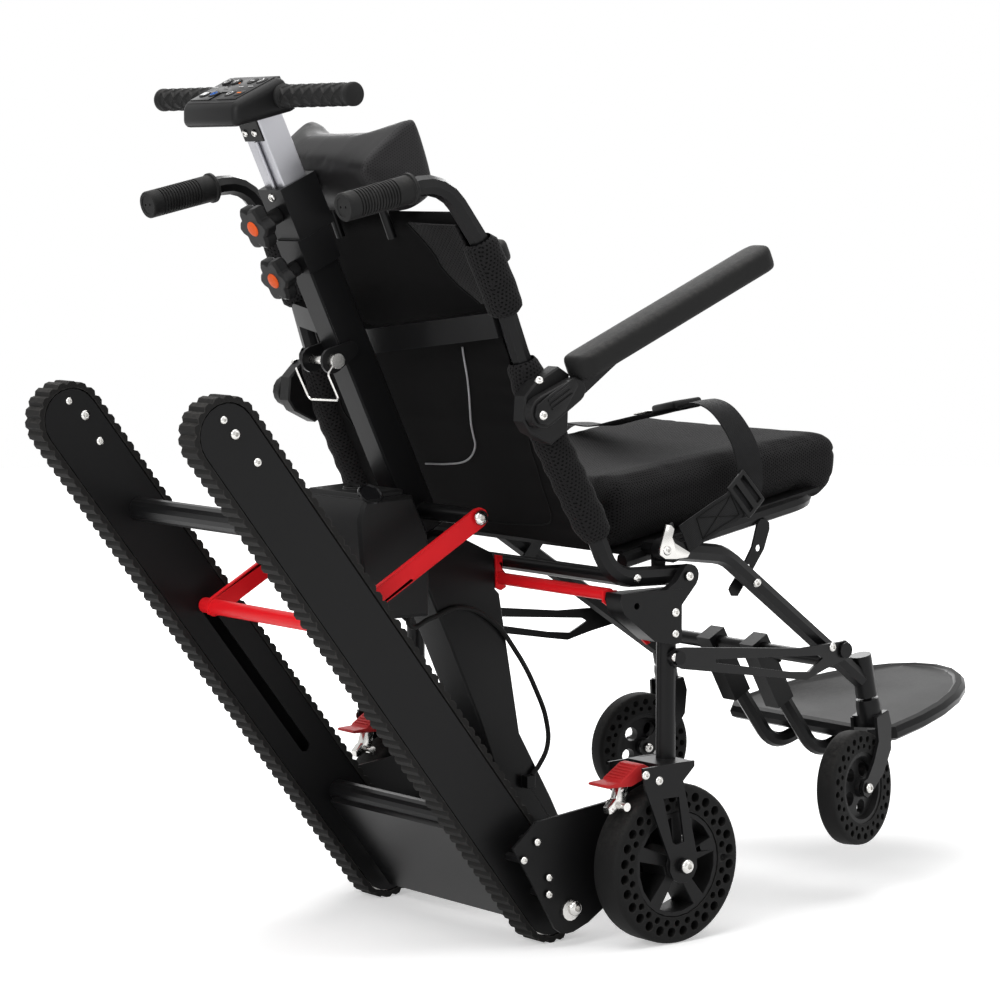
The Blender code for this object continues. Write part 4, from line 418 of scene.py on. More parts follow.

# %% [markdown]
# Leatherette is vinyl pressed with a leather grain: round cells of slightly different sizes with creases
# between them. A Voronoi texture makes just such cells. The side panels of the headrest are also pierced
# with rows of tiny holes, for air, which the honeycomb group gives with a harder edge. The holes' near-black
# colour is painted shade, the shade inside each hole.

# %% Leatherette


def leatherette(name, pierced):
    """Pressed vinyl, with rows of small holes if pierced, their dark colour painted shade."""
    material, tree, shader = cloth(name, (0.0110, 0.0106, 0.0110), 0.42, 0.0)
    shader.inputs["Specular IOR Level"].default_value = MIRROR
    place = add(tree, "TexCoord")
    cells = add(tree, "TexVoronoi", {"Scale": 900.0})
    bump = add(tree, "Bump", {"Strength": 0.6, "Distance": 0.00012})
    wire(tree, (place.outputs["Object"], cells.inputs["Vector"]), (cells.outputs["Distance"], bump.inputs["Height"]),
         (bump.outputs[0], shader.inputs["Normal"]))
    if pierced:
        comb = use_group(tree, comb_group, Size=0.0035)
        dots = add(tree, "MapRange", {"From Min": 0.75, "From Max": 0.95})
        # The holes' near-black colour is painted shade, not the vinyl's own.
        holes = add(tree, "Mix", data_type="RGBA")
        holes.inputs[6].default_value = (0.020, 0.019, 0.020, 1)
        holes.inputs[7].default_value = (0.002, 0.002, 0.002, 1)
        pits = add(tree, "Bump", {"Strength": 1.0, "Distance": 0.0006}, invert=True)
        wire(tree, (comb.outputs["Hole"], dots.inputs["Value"]), (dots.outputs[0], holes.inputs["Factor"]),
             (holes.outputs[2], shader.inputs["Base Color"]), (dots.outputs[0], pits.inputs["Height"]),
             (bump.outputs[0], pits.inputs["Normal"]), (pits.outputs[0], shader.inputs["Normal"]))
    return material


LEATHERETTE = leatherette("leatherette", False)
PIERCED = leatherette("pierced_leatherette", True)
print("leatherette:", LEATHERETTE.name, PIERCED.name)

# %% [markdown]
# The frame's solids that already have their right shape only need a finish. A table of finish to nodes
# keeps that in one place. Pieces that are remade below aren't in it.

# %% Finishes for the CAD's own solids
FINISHES = {
    BLACK_COAT: (*pair("post", "front_leg", "caster_fork", "brace_link"), "rear_axle", "lower_column", "column_tube",
                 "front_cross_tube", "seat_frame", "footrest_frame", "back_frame", "upper_track_tube",
                 "lower_track_tube"),
    DARK_COAT: (*pair("track_frame", "mounting_plate", "idler_pulley"), "drive_unit"),
    RED_COAT: ("red_cross_frame", "red_folding_arm"),
    STEEL: ("lock_pin", "drive_axle"),
    ALUMINIUM: ("handle_tube",),
    CASE: (*pair("rear_rim", "arm_bracket", "armrest"), "battery_box", "upper_clamp_knob", "lower_clamp_knob",
           "control_box", "travel_switch"),
    BELT: pair("track_belt"),
}
for material, names in FINISHES.items():
    for name in names:
        nodes[name].data.materials.clear()
        nodes[name].data.materials.append(material)
print(sum(len(names) for names in FINISHES.values()), "solids have a finish")

# %% [markdown]
# A cord comes before the other pieces, because its real length decides where it can lie. The control
# cable leaves the column's foot, hangs in one open bow beside it and goes into the drive's housing. A
# Bezier curve through the route's points, with automatic handles, bends as a stiff cable does.

# %% Control cable
CABLE_RADIUS = 0.0032
CABLE_ROUTE = ((-0.046, 0.232, 0.4036), (-0.046, 0.232, 0.392), (-0.0345, 0.190, 0.395), (-0.0345, 0.142, 0.405),
               (-0.0345, 0.095, 0.386), (-0.0345, 0.055, 0.343), (-0.0345, 0.022, 0.290), (-0.0345, 0.004, 0.245),
               (-0.0345, 0.003, 0.215), (-0.0345, 0.016, 0.192), (-0.0345, 0.0276, 0.1800))


def curve_through(name, points, radius, smooth=True, sides=3):
    """A round rod or cord along points: smooth bends between them, or straight runs."""
    data = bpy.data.curves.new(name, "CURVE")
    data.dimensions = "3D"
    data.bevel_depth = radius
    data.bevel_resolution = sides
    data.use_fill_caps = True
    data.resolution_u = 8
    spline = data.splines.new("BEZIER")
    spline.bezier_points.add(len(points) - 1)
    for corner, spot in zip(spline.bezier_points, points):
        corner.co = spot
        corner.handle_left_type = corner.handle_right_type = "AUTO" if smooth else "VECTOR"
    piece = bpy.data.objects.new(name, data)
    bpy.context.scene.collection.objects.link(piece)
    return piece


cable = curve_through("control_cable_cord", [at(*p) for p in CABLE_ROUTE], CABLE_RADIUS, sides=4)
cable.data.materials.append(GRIP)
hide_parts("control_cable")
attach(cable, "chassis")

# %% [markdown]
# The pieces below start as Blender primitives. These helpers select one piece, apply a modifier to it,
# lay a grid along any surface, and at the end fix a piece in the frame with its finish and body.

# %% Helpers for modelling


def alone(piece):
    """Selects this piece and nothing else."""
    if bpy.context.object and bpy.context.object.mode != "OBJECT":
        bpy.ops.object.mode_set(mode="OBJECT")
    bpy.ops.object.select_all(action="DESELECT")
    piece.select_set(True)
    bpy.context.view_layer.objects.active = piece
    return piece


def modify(piece, kind, **values):
    """Adds a modifier with these values and applies it."""
    alone(piece)
    modifier = piece.modifiers.new(kind.lower(), kind)
    for name, value in values.items():
        setattr(modifier, name, value)
    bpy.ops.object.modifier_apply(modifier=modifier.name)
    return piece


def lay(columns, rows, spot):
    """A grid whose points move to spot(u, v), where u and v run from 0 to 1."""
    bpy.ops.mesh.primitive_grid_add(x_subdivisions=columns, y_subdivisions=rows, size=1)
    piece = bpy.context.object
    for vertex in piece.data.vertices:
        vertex.co = spot(vertex.co.x + 0.5, vertex.co.y + 0.5)
    return piece


FINE_GAP = 0.00002


def close(piece, gap=0.00005):
    """Joins the points that a grid has put on each other, and turns its faces outward."""
    alone(piece)
    bpy.ops.object.mode_set(mode="EDIT")
    bpy.ops.mesh.select_all(action="SELECT")
    bpy.ops.mesh.remove_doubles(threshold=gap)
    bpy.ops.mesh.normals_make_consistent(inside=False)
    bpy.ops.object.mode_set(mode="OBJECT")
    return piece


def to_mesh(piece):
    """Turns a curve into the mesh that it shows."""
    alone(piece)
    bpy.ops.object.convert(target="MESH")
    return bpy.context.object


def join(pieces):
    """Makes one piece of several."""
    alone(pieces[0])
    for piece in pieces[1:]:
        piece.select_set(True)
    bpy.ops.object.join()
    return bpy.context.object


def settle(piece, name, body, material, nodes=(), angle=40):
    """Fixes a finished piece in the frame: its name, shading, finish and body, and what it stands for."""
    alone(piece)
    bpy.ops.object.transform_apply(location=True, rotation=True, scale=True)
    bpy.ops.object.shade_smooth_by_angle(angle=math.radians(angle))
    piece.name = name
    if material:
        piece.data.materials.clear()
        piece.data.materials.append(material)
    if nodes:
        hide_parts(*nodes)
    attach(piece, body)
    print(name, "rides on", body, "with", len(piece.data.polygons), "faces")
    return piece


def between(points, t, ring=False):
    """A point on the smooth line through points, at a share t of its way."""
    points = [Vector(p) for p in points]
    count = len(points) if ring else len(points) - 1
    place = min(max(t, 0.0), 1.0) * count
    i = min(int(place), count - 1)
    f = place - i
    if ring:
        a, b, c, d = (points[(i + k) % len(points)] for k in (-1, 0, 1, 2))
    else:
        b, c = points[i], points[i + 1]
        a = points[i - 1] if i else 2 * b - c
        d = points[i + 2] if i + 2 < len(points) else 2 * c - b
    return 0.5 * (2 * b + (c - a) * f + (2 * a - 5 * b + 4 * c - d) * f * f + (3 * b - 3 * c + d - a) * f ** 3)


def follow(points, steps):
    """Places on the smooth line through flat points, step by step from its start to its end."""
    return [between([(*p, 0) for p in points], i / steps).xy for i in range(steps + 1)]


# %% [markdown]
# A cushion swells because its foam pushes the cover out and the seams hold it back. Cloth physics does
# the same: the cover gets a light pressure from inside for a few frames, with gravity off. No point may
# move further than a cap, so the pad stays in the space that its CAD solid holds.

# %% Helper: inflate a cover
INFLATE_FRAMES = 18


def inflate(piece, pressure, cap):
    """Swells a closed cover by cloth pressure, moving no point further than cap."""
    alone(piece)
    flat = [vertex.co.copy() for vertex in piece.data.vertices]
    cover = piece.modifiers.new("cover", "CLOTH")
    cover.settings.use_pressure = True
    cover.settings.uniform_pressure_force = pressure
    cover.settings.effector_weights.gravity = 0
    cover.settings.quality = 4
    cover.settings.tension_stiffness = 12
    cover.settings.compression_stiffness = 12
    for step in range(1, INFLATE_FRAMES + 1):
        bpy.context.scene.frame_set(step)
    bpy.ops.object.modifier_apply(modifier=cover.name)
    bpy.context.scene.frame_set(1)
    for vertex, rest in zip(piece.data.vertices, flat):
        move = vertex.co - rest
        if move.length > cap:
            vertex.co = rest + move.normalized() * cap
    return piece


# %% [markdown]
# The seat cushion is a foam block in a cover of spacer mesh. It starts as a cube that is bevelled,
# remeshed to even 5 mm faces and moved onto the sloping seat plane, with a hollow where the sitter goes
# and sides that draw in below the top. Then it is inflated. The seam round it is pressed in last.

# %% Seat cushion
CUSHION_REAR, CUSHION_FRONT = 0.033, -0.358
CUSHION_HALF = 0.2060
BLOCK_HEIGHT = 0.070
THIGH_EDGE = -0.285


def cushion_top(y):
    """The height of the cushion's top, without its hollow."""
    return 0.566 - 0.126 * (y - 0.030)


def cushion_point(x, y, share):
    """A point of the cushion at a share of its height over the seat plane."""
    tucked = 0.017 * min(1.0, max(0.0, (THIGH_EDGE - y) / 0.045))
    bottom = seat_z(y) + 0.004 - tucked
    hollow = 0.010 * max(0.0, 1 - (x / 0.15) ** 2) * max(0.0, min(1.0, (y + 0.30) / 0.15))
    top = cushion_top(y) - hollow
    drawn = 1 - 0.035 * (1 - share) ** 2
    return at(x * drawn, y, bottom + (top - bottom) * share)


bpy.ops.mesh.primitive_cube_add(size=1)
cushion = bpy.context.object
cushion.scale = (2 * CUSHION_HALF, CUSHION_REAR - CUSHION_FRONT, BLOCK_HEIGHT)
bpy.ops.object.transform_apply(location=False, rotation=False, scale=True)
modify(cushion, "BEVEL", width=0.024, segments=6)
modify(cushion, "REMESH", mode="VOXEL", voxel_size=0.0055)
modify(cushion, "SMOOTH", factor=0.5, iterations=3)
middle = (CUSHION_REAR + CUSHION_FRONT) / 2
for vertex in cushion.data.vertices:
    share = min(1.0, max(0.0, vertex.co.z / BLOCK_HEIGHT + 0.5))
    vertex.co = cushion_point(vertex.co.x, vertex.co.y + middle, share)
inflate(cushion, 4.0, 0.0055)
modify(cushion, "SUBSURF", levels=1)
for vertex in cushion.data.vertices:
    x, y, z = vertex.co.x, vertex.co.y - AXLE_Y, vertex.co.z
    bottom = seat_z(y)
    share = (z - bottom) / (cushion_top(y) - bottom)
    inward = Vector((x / 0.21, (y - middle) / 0.19, 0))
    if max(abs(inward.x), abs(inward.y)) > 0.86:
        press = 0.0022 * math.exp(-((share - 0.64) / 0.045) ** 2) + 0.0016 * math.exp(-((share - 0.10) / 0.05) ** 2)
        vertex.co -= Vector((math.copysign(min(1, abs(inward.x) ** 8), x), inward.y ** 9, 0)) * press
    if y > THIGH_EDGE:
        vertex.co.z = max(vertex.co.z, bottom + 0.0022)
settle(cushion, "seat_cushion_cover", "legs", SEAT_MESH, ("seat_cushion",), 80)
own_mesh(cushion)

# %% [markdown]
# The headrest is a moulded foam roll with wings. Its cover is leatherette: smooth over the back and top,
# pierced for air on the wings' inner faces. Five cross-sections, mirrored, shape it. A grid is laid
# through them on smooth curves, and its ends close to a point like a sewn end panel.

# %% Headrest
SECTIONS = (
    (0.000, ((0.272, 0.992), (0.288, 1.001), (0.312, 0.998), (0.348, 0.965), (0.346, 0.942), (0.318, 0.914),
             (0.275, 0.905), (0.252, 0.926), (0.262, 0.958))),
    (0.055, ((0.268, 0.993), (0.284, 1.002), (0.309, 0.999), (0.347, 0.965), (0.345, 0.942), (0.316, 0.913),
             (0.275, 0.905), (0.249, 0.926), (0.258, 0.958))),
    (0.085, ((0.262, 1.004), (0.276, 1.012), (0.300, 1.003), (0.345, 0.965), (0.342, 0.941), (0.310, 0.911),
             (0.274, 0.905), (0.243, 0.925), (0.248, 0.956))),
    (0.107, ((0.262, 1.010), (0.274, 1.017), (0.294, 1.004), (0.341, 0.964), (0.338, 0.940), (0.304, 0.909),
             (0.273, 0.906), (0.240, 0.926), (0.242, 0.954))),
    (0.118, ((0.262, 1.006), (0.268, 1.010), (0.288, 0.999), (0.336, 0.962), (0.333, 0.941), (0.300, 0.911),
             (0.273, 0.909), (0.243, 0.928), (0.243, 0.953))))
HEADREST_MIDDLE = (0.292, 0.957)
HEADREST_HALF = 0.119
WING_SEAM = 0.104


def headrest_spot(u, v):
    """A point of the headrest: u runs across it, v round it."""
    x = (2 * u - 1) * HEADREST_HALF
    reach = min(abs(x), 0.1179)
    k = next(i for i in range(4) if SECTIONS[i + 1][0] >= reach)
    f = (reach - SECTIONS[k][0]) / (SECTIONS[k + 1][0] - SECTIONS[k][0])
    y0, z0 = between([(*p, 0) for p in SECTIONS[k][1]], v, ring=True).xy
    y1, z1 = between([(*p, 0) for p in SECTIONS[k + 1][1]], v, ring=True).xy
    y, z = y0 + (y1 - y0) * f, z0 + (z1 - z0) * f
    edge = max(0.0, (abs(x) - 0.107) / 0.012)
    full = math.sqrt(max(0.0, 1 - edge ** 2.5)) * 0.985
    y_middle, z_middle = HEADREST_MIDDLE
    return at(x, y_middle + (y - y_middle) * full, z_middle + (z - z_middle) * full)


headrest = close(lay(56, 64, headrest_spot))
inflate(headrest, 2.0, 0.0022)
for vertex in headrest.data.vertices:
    seam = math.exp(-((abs(vertex.co.x) - WING_SEAM) / 0.0028) ** 2)
    centre = at(vertex.co.x, *HEADREST_MIDDLE)
    vertex.co += (centre - vertex.co).normalized() * 0.0016 * seam
modify(headrest, "SUBSURF", levels=1)
settle(headrest, "headrest_cover", "back", LEATHERETTE, ("headrest",), 80)
headrest.data.materials.append(PIERCED)
for face in headrest.data.polygons:
    c = face.center
    front = c.y - AXLE_Y < 0.300 - 0.55 * (c.z - HEADREST_MIDDLE[1])
    face.material_index = 1 if front and abs(c.x) > 0.030 or abs(c.x) > WING_SEAM else 0

# %% [markdown]
# Two short steel rods carry the headrest on the back's upper edge. A curve of two points with a round
# profile is all they need.

# %% Headrest rods
rods = []
for x in (-0.055, 0.055):
    rods.append(to_mesh(curve_through("rod", [at(x, 0.262, 0.872), at(x, 0.280, 0.915)], 0.0058, False, sides=6)))
settle(join(rods), "headrest_rods", "back", BLACK_COAT)

# %% [markdown]
# Behind the sitter hangs the back: a thin black cloth stretched between the two back tubes, over a foam
# pad that faces forward. They are two pieces, because one is a sheet and the other is stuffed. Both follow
# the same leaning line, so one function gives a place on it: how far up, and how far out to the rear.

# %% The back's leaning line
BACK_LINE = ((0.0755, 0.487), (0.091, 0.516), (0.158, 0.641), (0.196, 0.739), (0.222, 0.812), (0.251, 0.872),
             (0.268, 0.900))


def back_at(x, height, out):
    """A point at a height over the floor, and so far behind the back's line."""
    k = next((i for i in range(5) if BACK_LINE[i + 1][1] >= height), 5)
    (y0, z0), (y1, z1) = BACK_LINE[k], BACK_LINE[k + 1]
    f = (height - z0) / (z1 - z0)
    lean = math.atan2(y1 - y0, z1 - z0)
    return at(x, y0 + (y1 - y0) * f + out * math.cos(lean), height - out * math.sin(lean))


def back_half(height):
    """Half the distance between the back tubes at a height."""
    share = min(1.0, max(0.0, (height - 0.46) / 0.45))
    return 0.246 - 0.033 * share ** 0.6


print("the back is", round(2 * back_half(0.5), 3), "wide at the seat and", round(2 * back_half(0.9), 3), "at the top")

# %% [markdown]
# The rear cloth is a grid laid on the line. It sags a little between its seams, puckers along the sides
# and dips where the crossbar presses it. A Solidify of 1.2 mm gives it the thickness of lined nylon.

# %% Rear cloth
PANEL_LOW, PANEL_HIGH = 0.492, 0.897
TUBE_GAP = 0.0212


def cloth_spot(u, v):
    """A point of the rear cloth: u across it, v up it."""
    height = PANEL_LOW + (PANEL_HIGH - PANEL_LOW) * v
    half = back_half(height) - TUBE_GAP
    x = (2 * u - 1) * half
    side_share = abs(2 * u - 1)
    sag = -0.0065 * (1 - side_share ** 2.2)
    pucker = 0.0010 * side_share ** 5 * math.sin(height * 210 + 2 * math.sin(height * 37))
    waves = 0.0012 * math.sin(9 * u + 22 * v) * math.sin(13 * v) * (1 - side_share)
    pressed = -0.0022 * math.exp(-((height - 0.758) / 0.020) ** 2)
    rolled = -0.012 * max(0.0, (v - 0.965) / 0.035) ** 2
    return back_at(x, height, 0.0030 + sag + pucker + waves + pressed + rolled)


rear_cloth = lay(60, 90, cloth_spot)
modify(rear_cloth, "SOLIDIFY", thickness=0.0012, offset=0.0)
settle(rear_cloth, "rear_cloth", "back", PANEL_CLOTH, (), 80)

# %% [markdown]
# The front pad is what the sitter leans on. Its cover of spacer mesh bulges between two upright seams and
# one seam across, as quilting does. It is a closed tube of cross-sections, squeezed shut at both ends.

# %% Front pad


def pad_spot(u, v):
    """A point of the pad: u goes round it, v up it."""
    height = 0.494 + 0.400 * v
    half = back_half(height) - 0.0235
    ends = min(1.0, math.sqrt(max(0.0, 1 - abs(2 * v - 1) ** 18)) + 0.02)
    angle = 2 * math.pi * u
    c, s = math.cos(angle), math.sin(angle)
    x = half * math.copysign(abs(c) ** 0.45, c)
    depth = math.copysign(abs(s) ** 0.45, s)
    seams = math.exp(-((abs(x) - 0.105) / 0.006) ** 2) + math.exp(-((height - 0.690) / 0.006) ** 2)
    front = -0.0205 - (0.0130 - 0.0045 * min(1.0, seams)) * depth * ends
    return back_at(x * (0.985 + 0.015 * ends), height, front)


pad = close(lay(96, 84, pad_spot))
modify(pad, "SUBSURF", levels=1)
settle(pad, "back_pad", "back", SEAT_MESH, ("back_panel",), 80)
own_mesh(pad)

# %% [markdown]
# Padded sleeves of coarse mesh cover the back tubes and leave them bare at the crossbar. Each is a tube of
# rings laid along the tube's line: it bulges a little, has slack folds, and is drawn in at its hems. At
# the top a wing of the same mesh reaches over the rear cloth, with a curved edge.

# %% Sleeves
SLEEVE_RADIUS = 0.0222
WING_EDGE = ((0.094, 0.893), (0.104, 0.880), (0.121, 0.856), (0.127, 0.838), (0.148, 0.816), (0.178, 0.796))


def sleeve(s, low, high, phase):
    """A sleeve on one back tube between two heights."""
    def spot(u, v):
        height = low + (high - low) * v
        centre = back_at(s * back_half(height), height, 0.0)
        hem = 1 - 0.30 * math.exp(-v / 0.03) - 0.30 * math.exp(-(1 - v) / 0.03)
        folds = 0.0009 * math.sin(height * 260 + 3 * math.sin(6.28 * u + phase)) * math.sin(6.28 * u + phase)
        radius = SLEEVE_RADIUS * hem + folds
        angle = 2 * math.pi * u
        k = max(i for i in range(6) if BACK_LINE[i][1] <= max(height, 0.488))
        lean = math.atan2(BACK_LINE[k + 1][0] - BACK_LINE[k][0], BACK_LINE[k + 1][1] - BACK_LINE[k][1])
        back = Vector((0, math.cos(lean), -math.sin(lean)))
        return centre + Vector((math.cos(angle) * radius, 0, 0)) + back * math.sin(angle) * radius
    return close(lay(40, int((high - low) / 0.005), spot), FINE_GAP)


def wing(s):
    """The mesh that reaches from the sleeve over the rear cloth, down to its curved edge."""
    def spot(u, v):
        x, height = between([(*p, 0) for p in WING_EDGE], v).xy
        outer = back_half(height) - 0.010
        lift = 0.0035 + 0.0095 * u ** 2 + 0.0030 * math.sin(math.pi * u)
        return back_at(s * (x + (outer - x) * u), height + 0.003 * u, lift)
    piece = lay(30, 40, spot)
    modify(piece, "SOLIDIFY", thickness=0.0022, offset=0.0)
    return piece


for name, s in SIDES:
    covers = join([sleeve(s, 0.508, 0.727, 1.0), sleeve(s, 0.783, 0.872, 2.0), wing(s)])
    settle(covers, name + "_sleeve", "back", SLEEVE_MESH, (name + "_bolster",), 80)

# %% [markdown]
# A silver reflective piping edges the pocket on the rear cloth. Thin seams of doubled thread run beside
# the sleeves and round the pocket's flap. Each is a fine round rod that follows the cloth's own surface.

# %% Piping and seams
POCKET = ((-0.1075, 0.738), (-0.100, 0.705), (-0.084, 0.662), (-0.0700, 0.628), (-0.0620, 0.611), (-0.043, 0.596),
          (-0.018, 0.5865), (0.020, 0.5815), (0.066, 0.5790))
FLAP = ((0.205, 0.708), (0.196, 0.660), (0.183, 0.610), (0.171, 0.560), (0.164, 0.530), (0.140, 0.516),
        (0.060, 0.509), (0.0, 0.507))


def on_cloth(x, height, lift):
    """A point just over the rear cloth."""
    half = back_half(height) - TUBE_GAP
    v = (height - PANEL_LOW) / (PANEL_HIGH - PANEL_LOW)
    spot = cloth_spot(0.5 + 0.5 * x / half, v)
    return spot + (back_at(x, height, 1.0) - back_at(x, height, 0.0)) * lift


path = [on_cloth(x, height, 0.0013) for x, height in follow(POCKET, 30)]
piping = to_mesh(curve_through("piping", path, 0.0013, sides=4))
settle(piping, "pocket_piping", "back", PIPING)

seams = []
for name, s in SIDES:
    path = [on_cloth(s * x, height, 0.0012) for x, height in follow(FLAP, 40)]
    seams.append(to_mesh(curve_through("seam", path, 0.0009)))
    path = [back_at(s * x, height, 0.0052) for x, height in follow(WING_EDGE, 30)]
    seams.append(to_mesh(curve_through("seam", path, 0.0012)))
settle(join(seams), "back_seams", "back", THREAD)

# %% [markdown]
# The lap belt is 38 mm webbing. Webbing is flat, so it isn't simulated: a strip is laid along the belt's
# route, each place with its own outward direction, and Solidify makes it 1.8 mm thick.

# %% Lap belt
BELT_ROUTE = (
    ((-0.26505, -0.0300, 0.5000), (-1.0, 0.0, 0.0)), ((-0.26505, -0.0460, 0.5080), (-1.0, 0.0, 0.0)),
    ((-0.2590, -0.0850, 0.5230), (-1.0, 0.0, 0.05)), ((-0.2480, -0.1300, 0.5380), (-1.0, 0.0, 0.15)),
    ((-0.2400, -0.1600, 0.5620), (-1.0, 0.1, 0.25)), ((-0.2250, -0.1640, 0.6080), (-0.95, 0.1, 0.45)),
    ((-0.1900, -0.1610, 0.6480), (-0.6, 0.1, 0.8)), ((-0.1500, -0.1610, 0.6600), (0.0, 0.1, 1.0)),
    ((-0.1100, -0.1650, 0.6500), (0.3, 0.1, 1.0)), ((-0.0300, -0.1750, 0.6360), (0.1, 0.0, 1.0)),
    ((0.0300, -0.1820, 0.6250), (0.15, 0.0, 1.0)), ((0.1000, -0.1950, 0.6130), (0.05, 0.0, 1.0)),
    ((0.1700, -0.2050, 0.6120), (0.10, 0.0, 1.0)), ((0.2120, -0.2060, 0.5990), (0.80, 0.0, 0.6)),
    ((0.2230, -0.1950, 0.5700), (1.0, 0.0, 0.1)), ((0.2450, -0.1100, 0.5350), (1.0, 0.0, 0.0)),
    ((0.26505, -0.0460, 0.5080), (1.0, 0.0, 0.0)), ((0.26505, -0.0300, 0.5000), (1.0, 0.0, 0.0)))
BELT_WIDTH, BELT_THICKNESS = 0.038, 0.0018
belt_points = [place for place, _ in BELT_ROUTE]
belt_normals = [outward for _, outward in BELT_ROUTE]


def belt_frame(t):
    """The belt's middle line at t, with its unit vectors along, across and outward."""
    here = at(*between(belt_points, t))
    along = (between(belt_points, t + 0.004) - between(belt_points, t - 0.004)).normalized()
    across = along.cross(between(belt_normals, t)).normalized()
    return here, along, across, across.cross(along).normalized()


def on_belt(t, v, lift):
    """A point over the belt's middle layer: t along it, v across it."""
    here, _, across, outward = belt_frame(t)
    return here + across * (v - 0.5) * BELT_WIDTH + outward * lift


def belt_spot(u, v):
    """A point of the belt, which is a little crowned across."""
    return on_belt(u, v, 0.0006 * math.cos(math.pi * (v - 0.5)))


belt = lay(220, 8, belt_spot)
modify(belt, "SOLIDIFY", thickness=BELT_THICKNESS, offset=0.0)
settle(belt, "lap_belt_webbing", "legs", WEBBING, ("lap_belt",), 60)
belt_length = sum((between(belt_points, (i + 1) / 200) - between(belt_points, i / 200)).length for i in range(200))
print("the belt is", round(belt_length, 3), "metres long")

# %% [markdown]
# Where the webbing turns back at each hook it is sewn with a box and a cross of thread.

# %% Box stitches
EDGE_LOW, EDGE_HIGH = 0.12, 0.88
stitches = []
for first, last in ((0.075, 0.170), (0.845, 0.925)):
    a, b, c, d = (first, EDGE_LOW), (last, EDGE_LOW), (last, EDGE_HIGH), (first, EDGE_HIGH)
    for (t0, v0), (t1, v1) in ((a, b), (b, c), (c, d), (d, a), (a, c), (d, b)):
        run = [on_belt(t0 + (t1 - t0) * i / 8, v0 + (v1 - v0) * i / 8, 0.0016) for i in range(9)]
        stitches.append(to_mesh(curve_through("stitch", run, 0.0007, sides=2)))
settle(join(stitches), "belt_stitches", "legs", THREAD)

# %% [markdown]
# The buckle has a black moulded body that takes a bright tongue. The slider that shortens the belt is a
# frame of three bars. Each is a box, bevelled, turned into the belt's own frame at its place.

# %% Buckle and slider


def on_frame(piece, t, lift):
    """Turns a piece so that its X runs along the belt and its Z outward, at a place on it."""
    here, along, across, outward = belt_frame(t)
    turn = Matrix((along, across, outward)).transposed().to_4x4()
    turn.translation = here + outward * lift
    piece.matrix_world = turn
    return piece


def rounded_box(size, edge, segments=3):
    """A box with rounded edges, at the origin."""
    bpy.ops.mesh.primitive_cube_add(size=1)
    piece = bpy.context.object
    piece.scale = size
    bpy.ops.object.transform_apply(location=False, rotation=False, scale=True)
    return modify(piece, "BEVEL", width=edge, segments=segments)


def cut_away(piece, *cutters):
    """Cuts pieces out of a piece and removes them."""
    for cutter in cutters:
        modify(piece, "BOOLEAN", object=cutter, operation="DIFFERENCE", solver="EXACT")
        bpy.data.objects.remove(cutter)
    return piece


BUCKLE_AT = 0.487
body = rounded_box((0.058, 0.044, 0.013), 0.0045)
window = rounded_box((0.022, 0.020, 0.010), 0.002)
window.location = (0.010, 0, 0.0085)
cut_away(body, window)
button = rounded_box((0.020, 0.018, 0.005), 0.0018)
button.location = (0.010, 0, 0.0045)
buckle = on_frame(join([body, button]), BUCKLE_AT, 0.0045)
settle(buckle, "belt_buckle", "legs", CASE)
plate = rounded_box((0.036, 0.036, 0.0022), 0.0009, 2)
slot = rounded_box((0.007, 0.026, 0.010), 0.001)
slot.location = (0.008, 0, 0)
tongue = on_frame(cut_away(plate, slot), BUCKLE_AT + 0.042, 0.0030)
settle(tongue, "belt_tongue", "legs", STEEL)

frame_plate = rounded_box((0.040, 0.050, 0.0050), 0.0020)
slots = []
for x in (-0.0095, 0.0095):
    slot = rounded_box((0.0095, 0.040, 0.012), 0.001)
    slot.location = (x, 0, 0)
    slots.append(slot)
slider = on_frame(cut_away(frame_plate, *slots), 0.205, 0.0024)
settle(slider, "belt_slider", "legs", CASE)

# %% [markdown]
# Round parts are turned on a lathe, so one helper does that: a list of radii and places along an axis,
# swept round it. A second radius rule can raise ribs or knobs while it turns.

# %% Helper: turn a round piece


def turned(profile, start, end, sides=48, relief=None):
    """A closed round piece from start to end; profile gives (radius, share of the way) pairs."""
    start, end = Vector(start), Vector(end)
    turn = (end - start).to_track_quat("Z", "Y").to_matrix()
    length = (end - start).length

    def spot(u, v):
        place = v * (len(profile) - 1)
        k = min(int(place + 1e-6), len(profile) - 2)
        (r0, s0), (r1, s1) = profile[k], profile[k + 1]
        f = place - k
        radius, along = r0 + (r1 - r0) * f, (s0 + (s1 - s0) * f) * length
        angle = 2 * math.pi * u
        if relief:
            radius += relief(angle, along)
        return start + turn @ Vector((radius * math.cos(angle), radius * math.sin(angle), along))
    return close(lay(sides, len(profile) - 1, spot), FINE_GAP)


# %% [markdown]
# The rear tyres are airless: a solid ring of rubber with two staggered rows of round holes right through
# it, which squash where an air tyre would. The ring is turned, and one cutter of 56 rods makes the holes.

# %% Rear tyres
AXLE = (0.0, 0.100)
HOLE_ROWS = ((0.0852, 0.0064, 0.0), (0.0742, 0.0046, 0.5))


def rod_between(start, end, radius, sides):
    """A plain round rod from one point to another."""
    return turned(((0.0001, 0), (radius, 0), (radius, 1), (0.0001, 1)), start, end, sides)


def holes_through(centre, radius_of_row, hole_radius, count, phase, axis, reach):
    """Rods round a wheel's middle that cut a row of holes."""
    side = axis.orthogonal().normalized()
    rods = []
    for i in range(count):
        spot = Matrix.Rotation(math.tau * (i + phase) / count, 3, axis) @ side * radius_of_row + centre
        rods.append(rod_between(spot - axis * reach, spot + axis * reach, hole_radius, 12))
    return rods


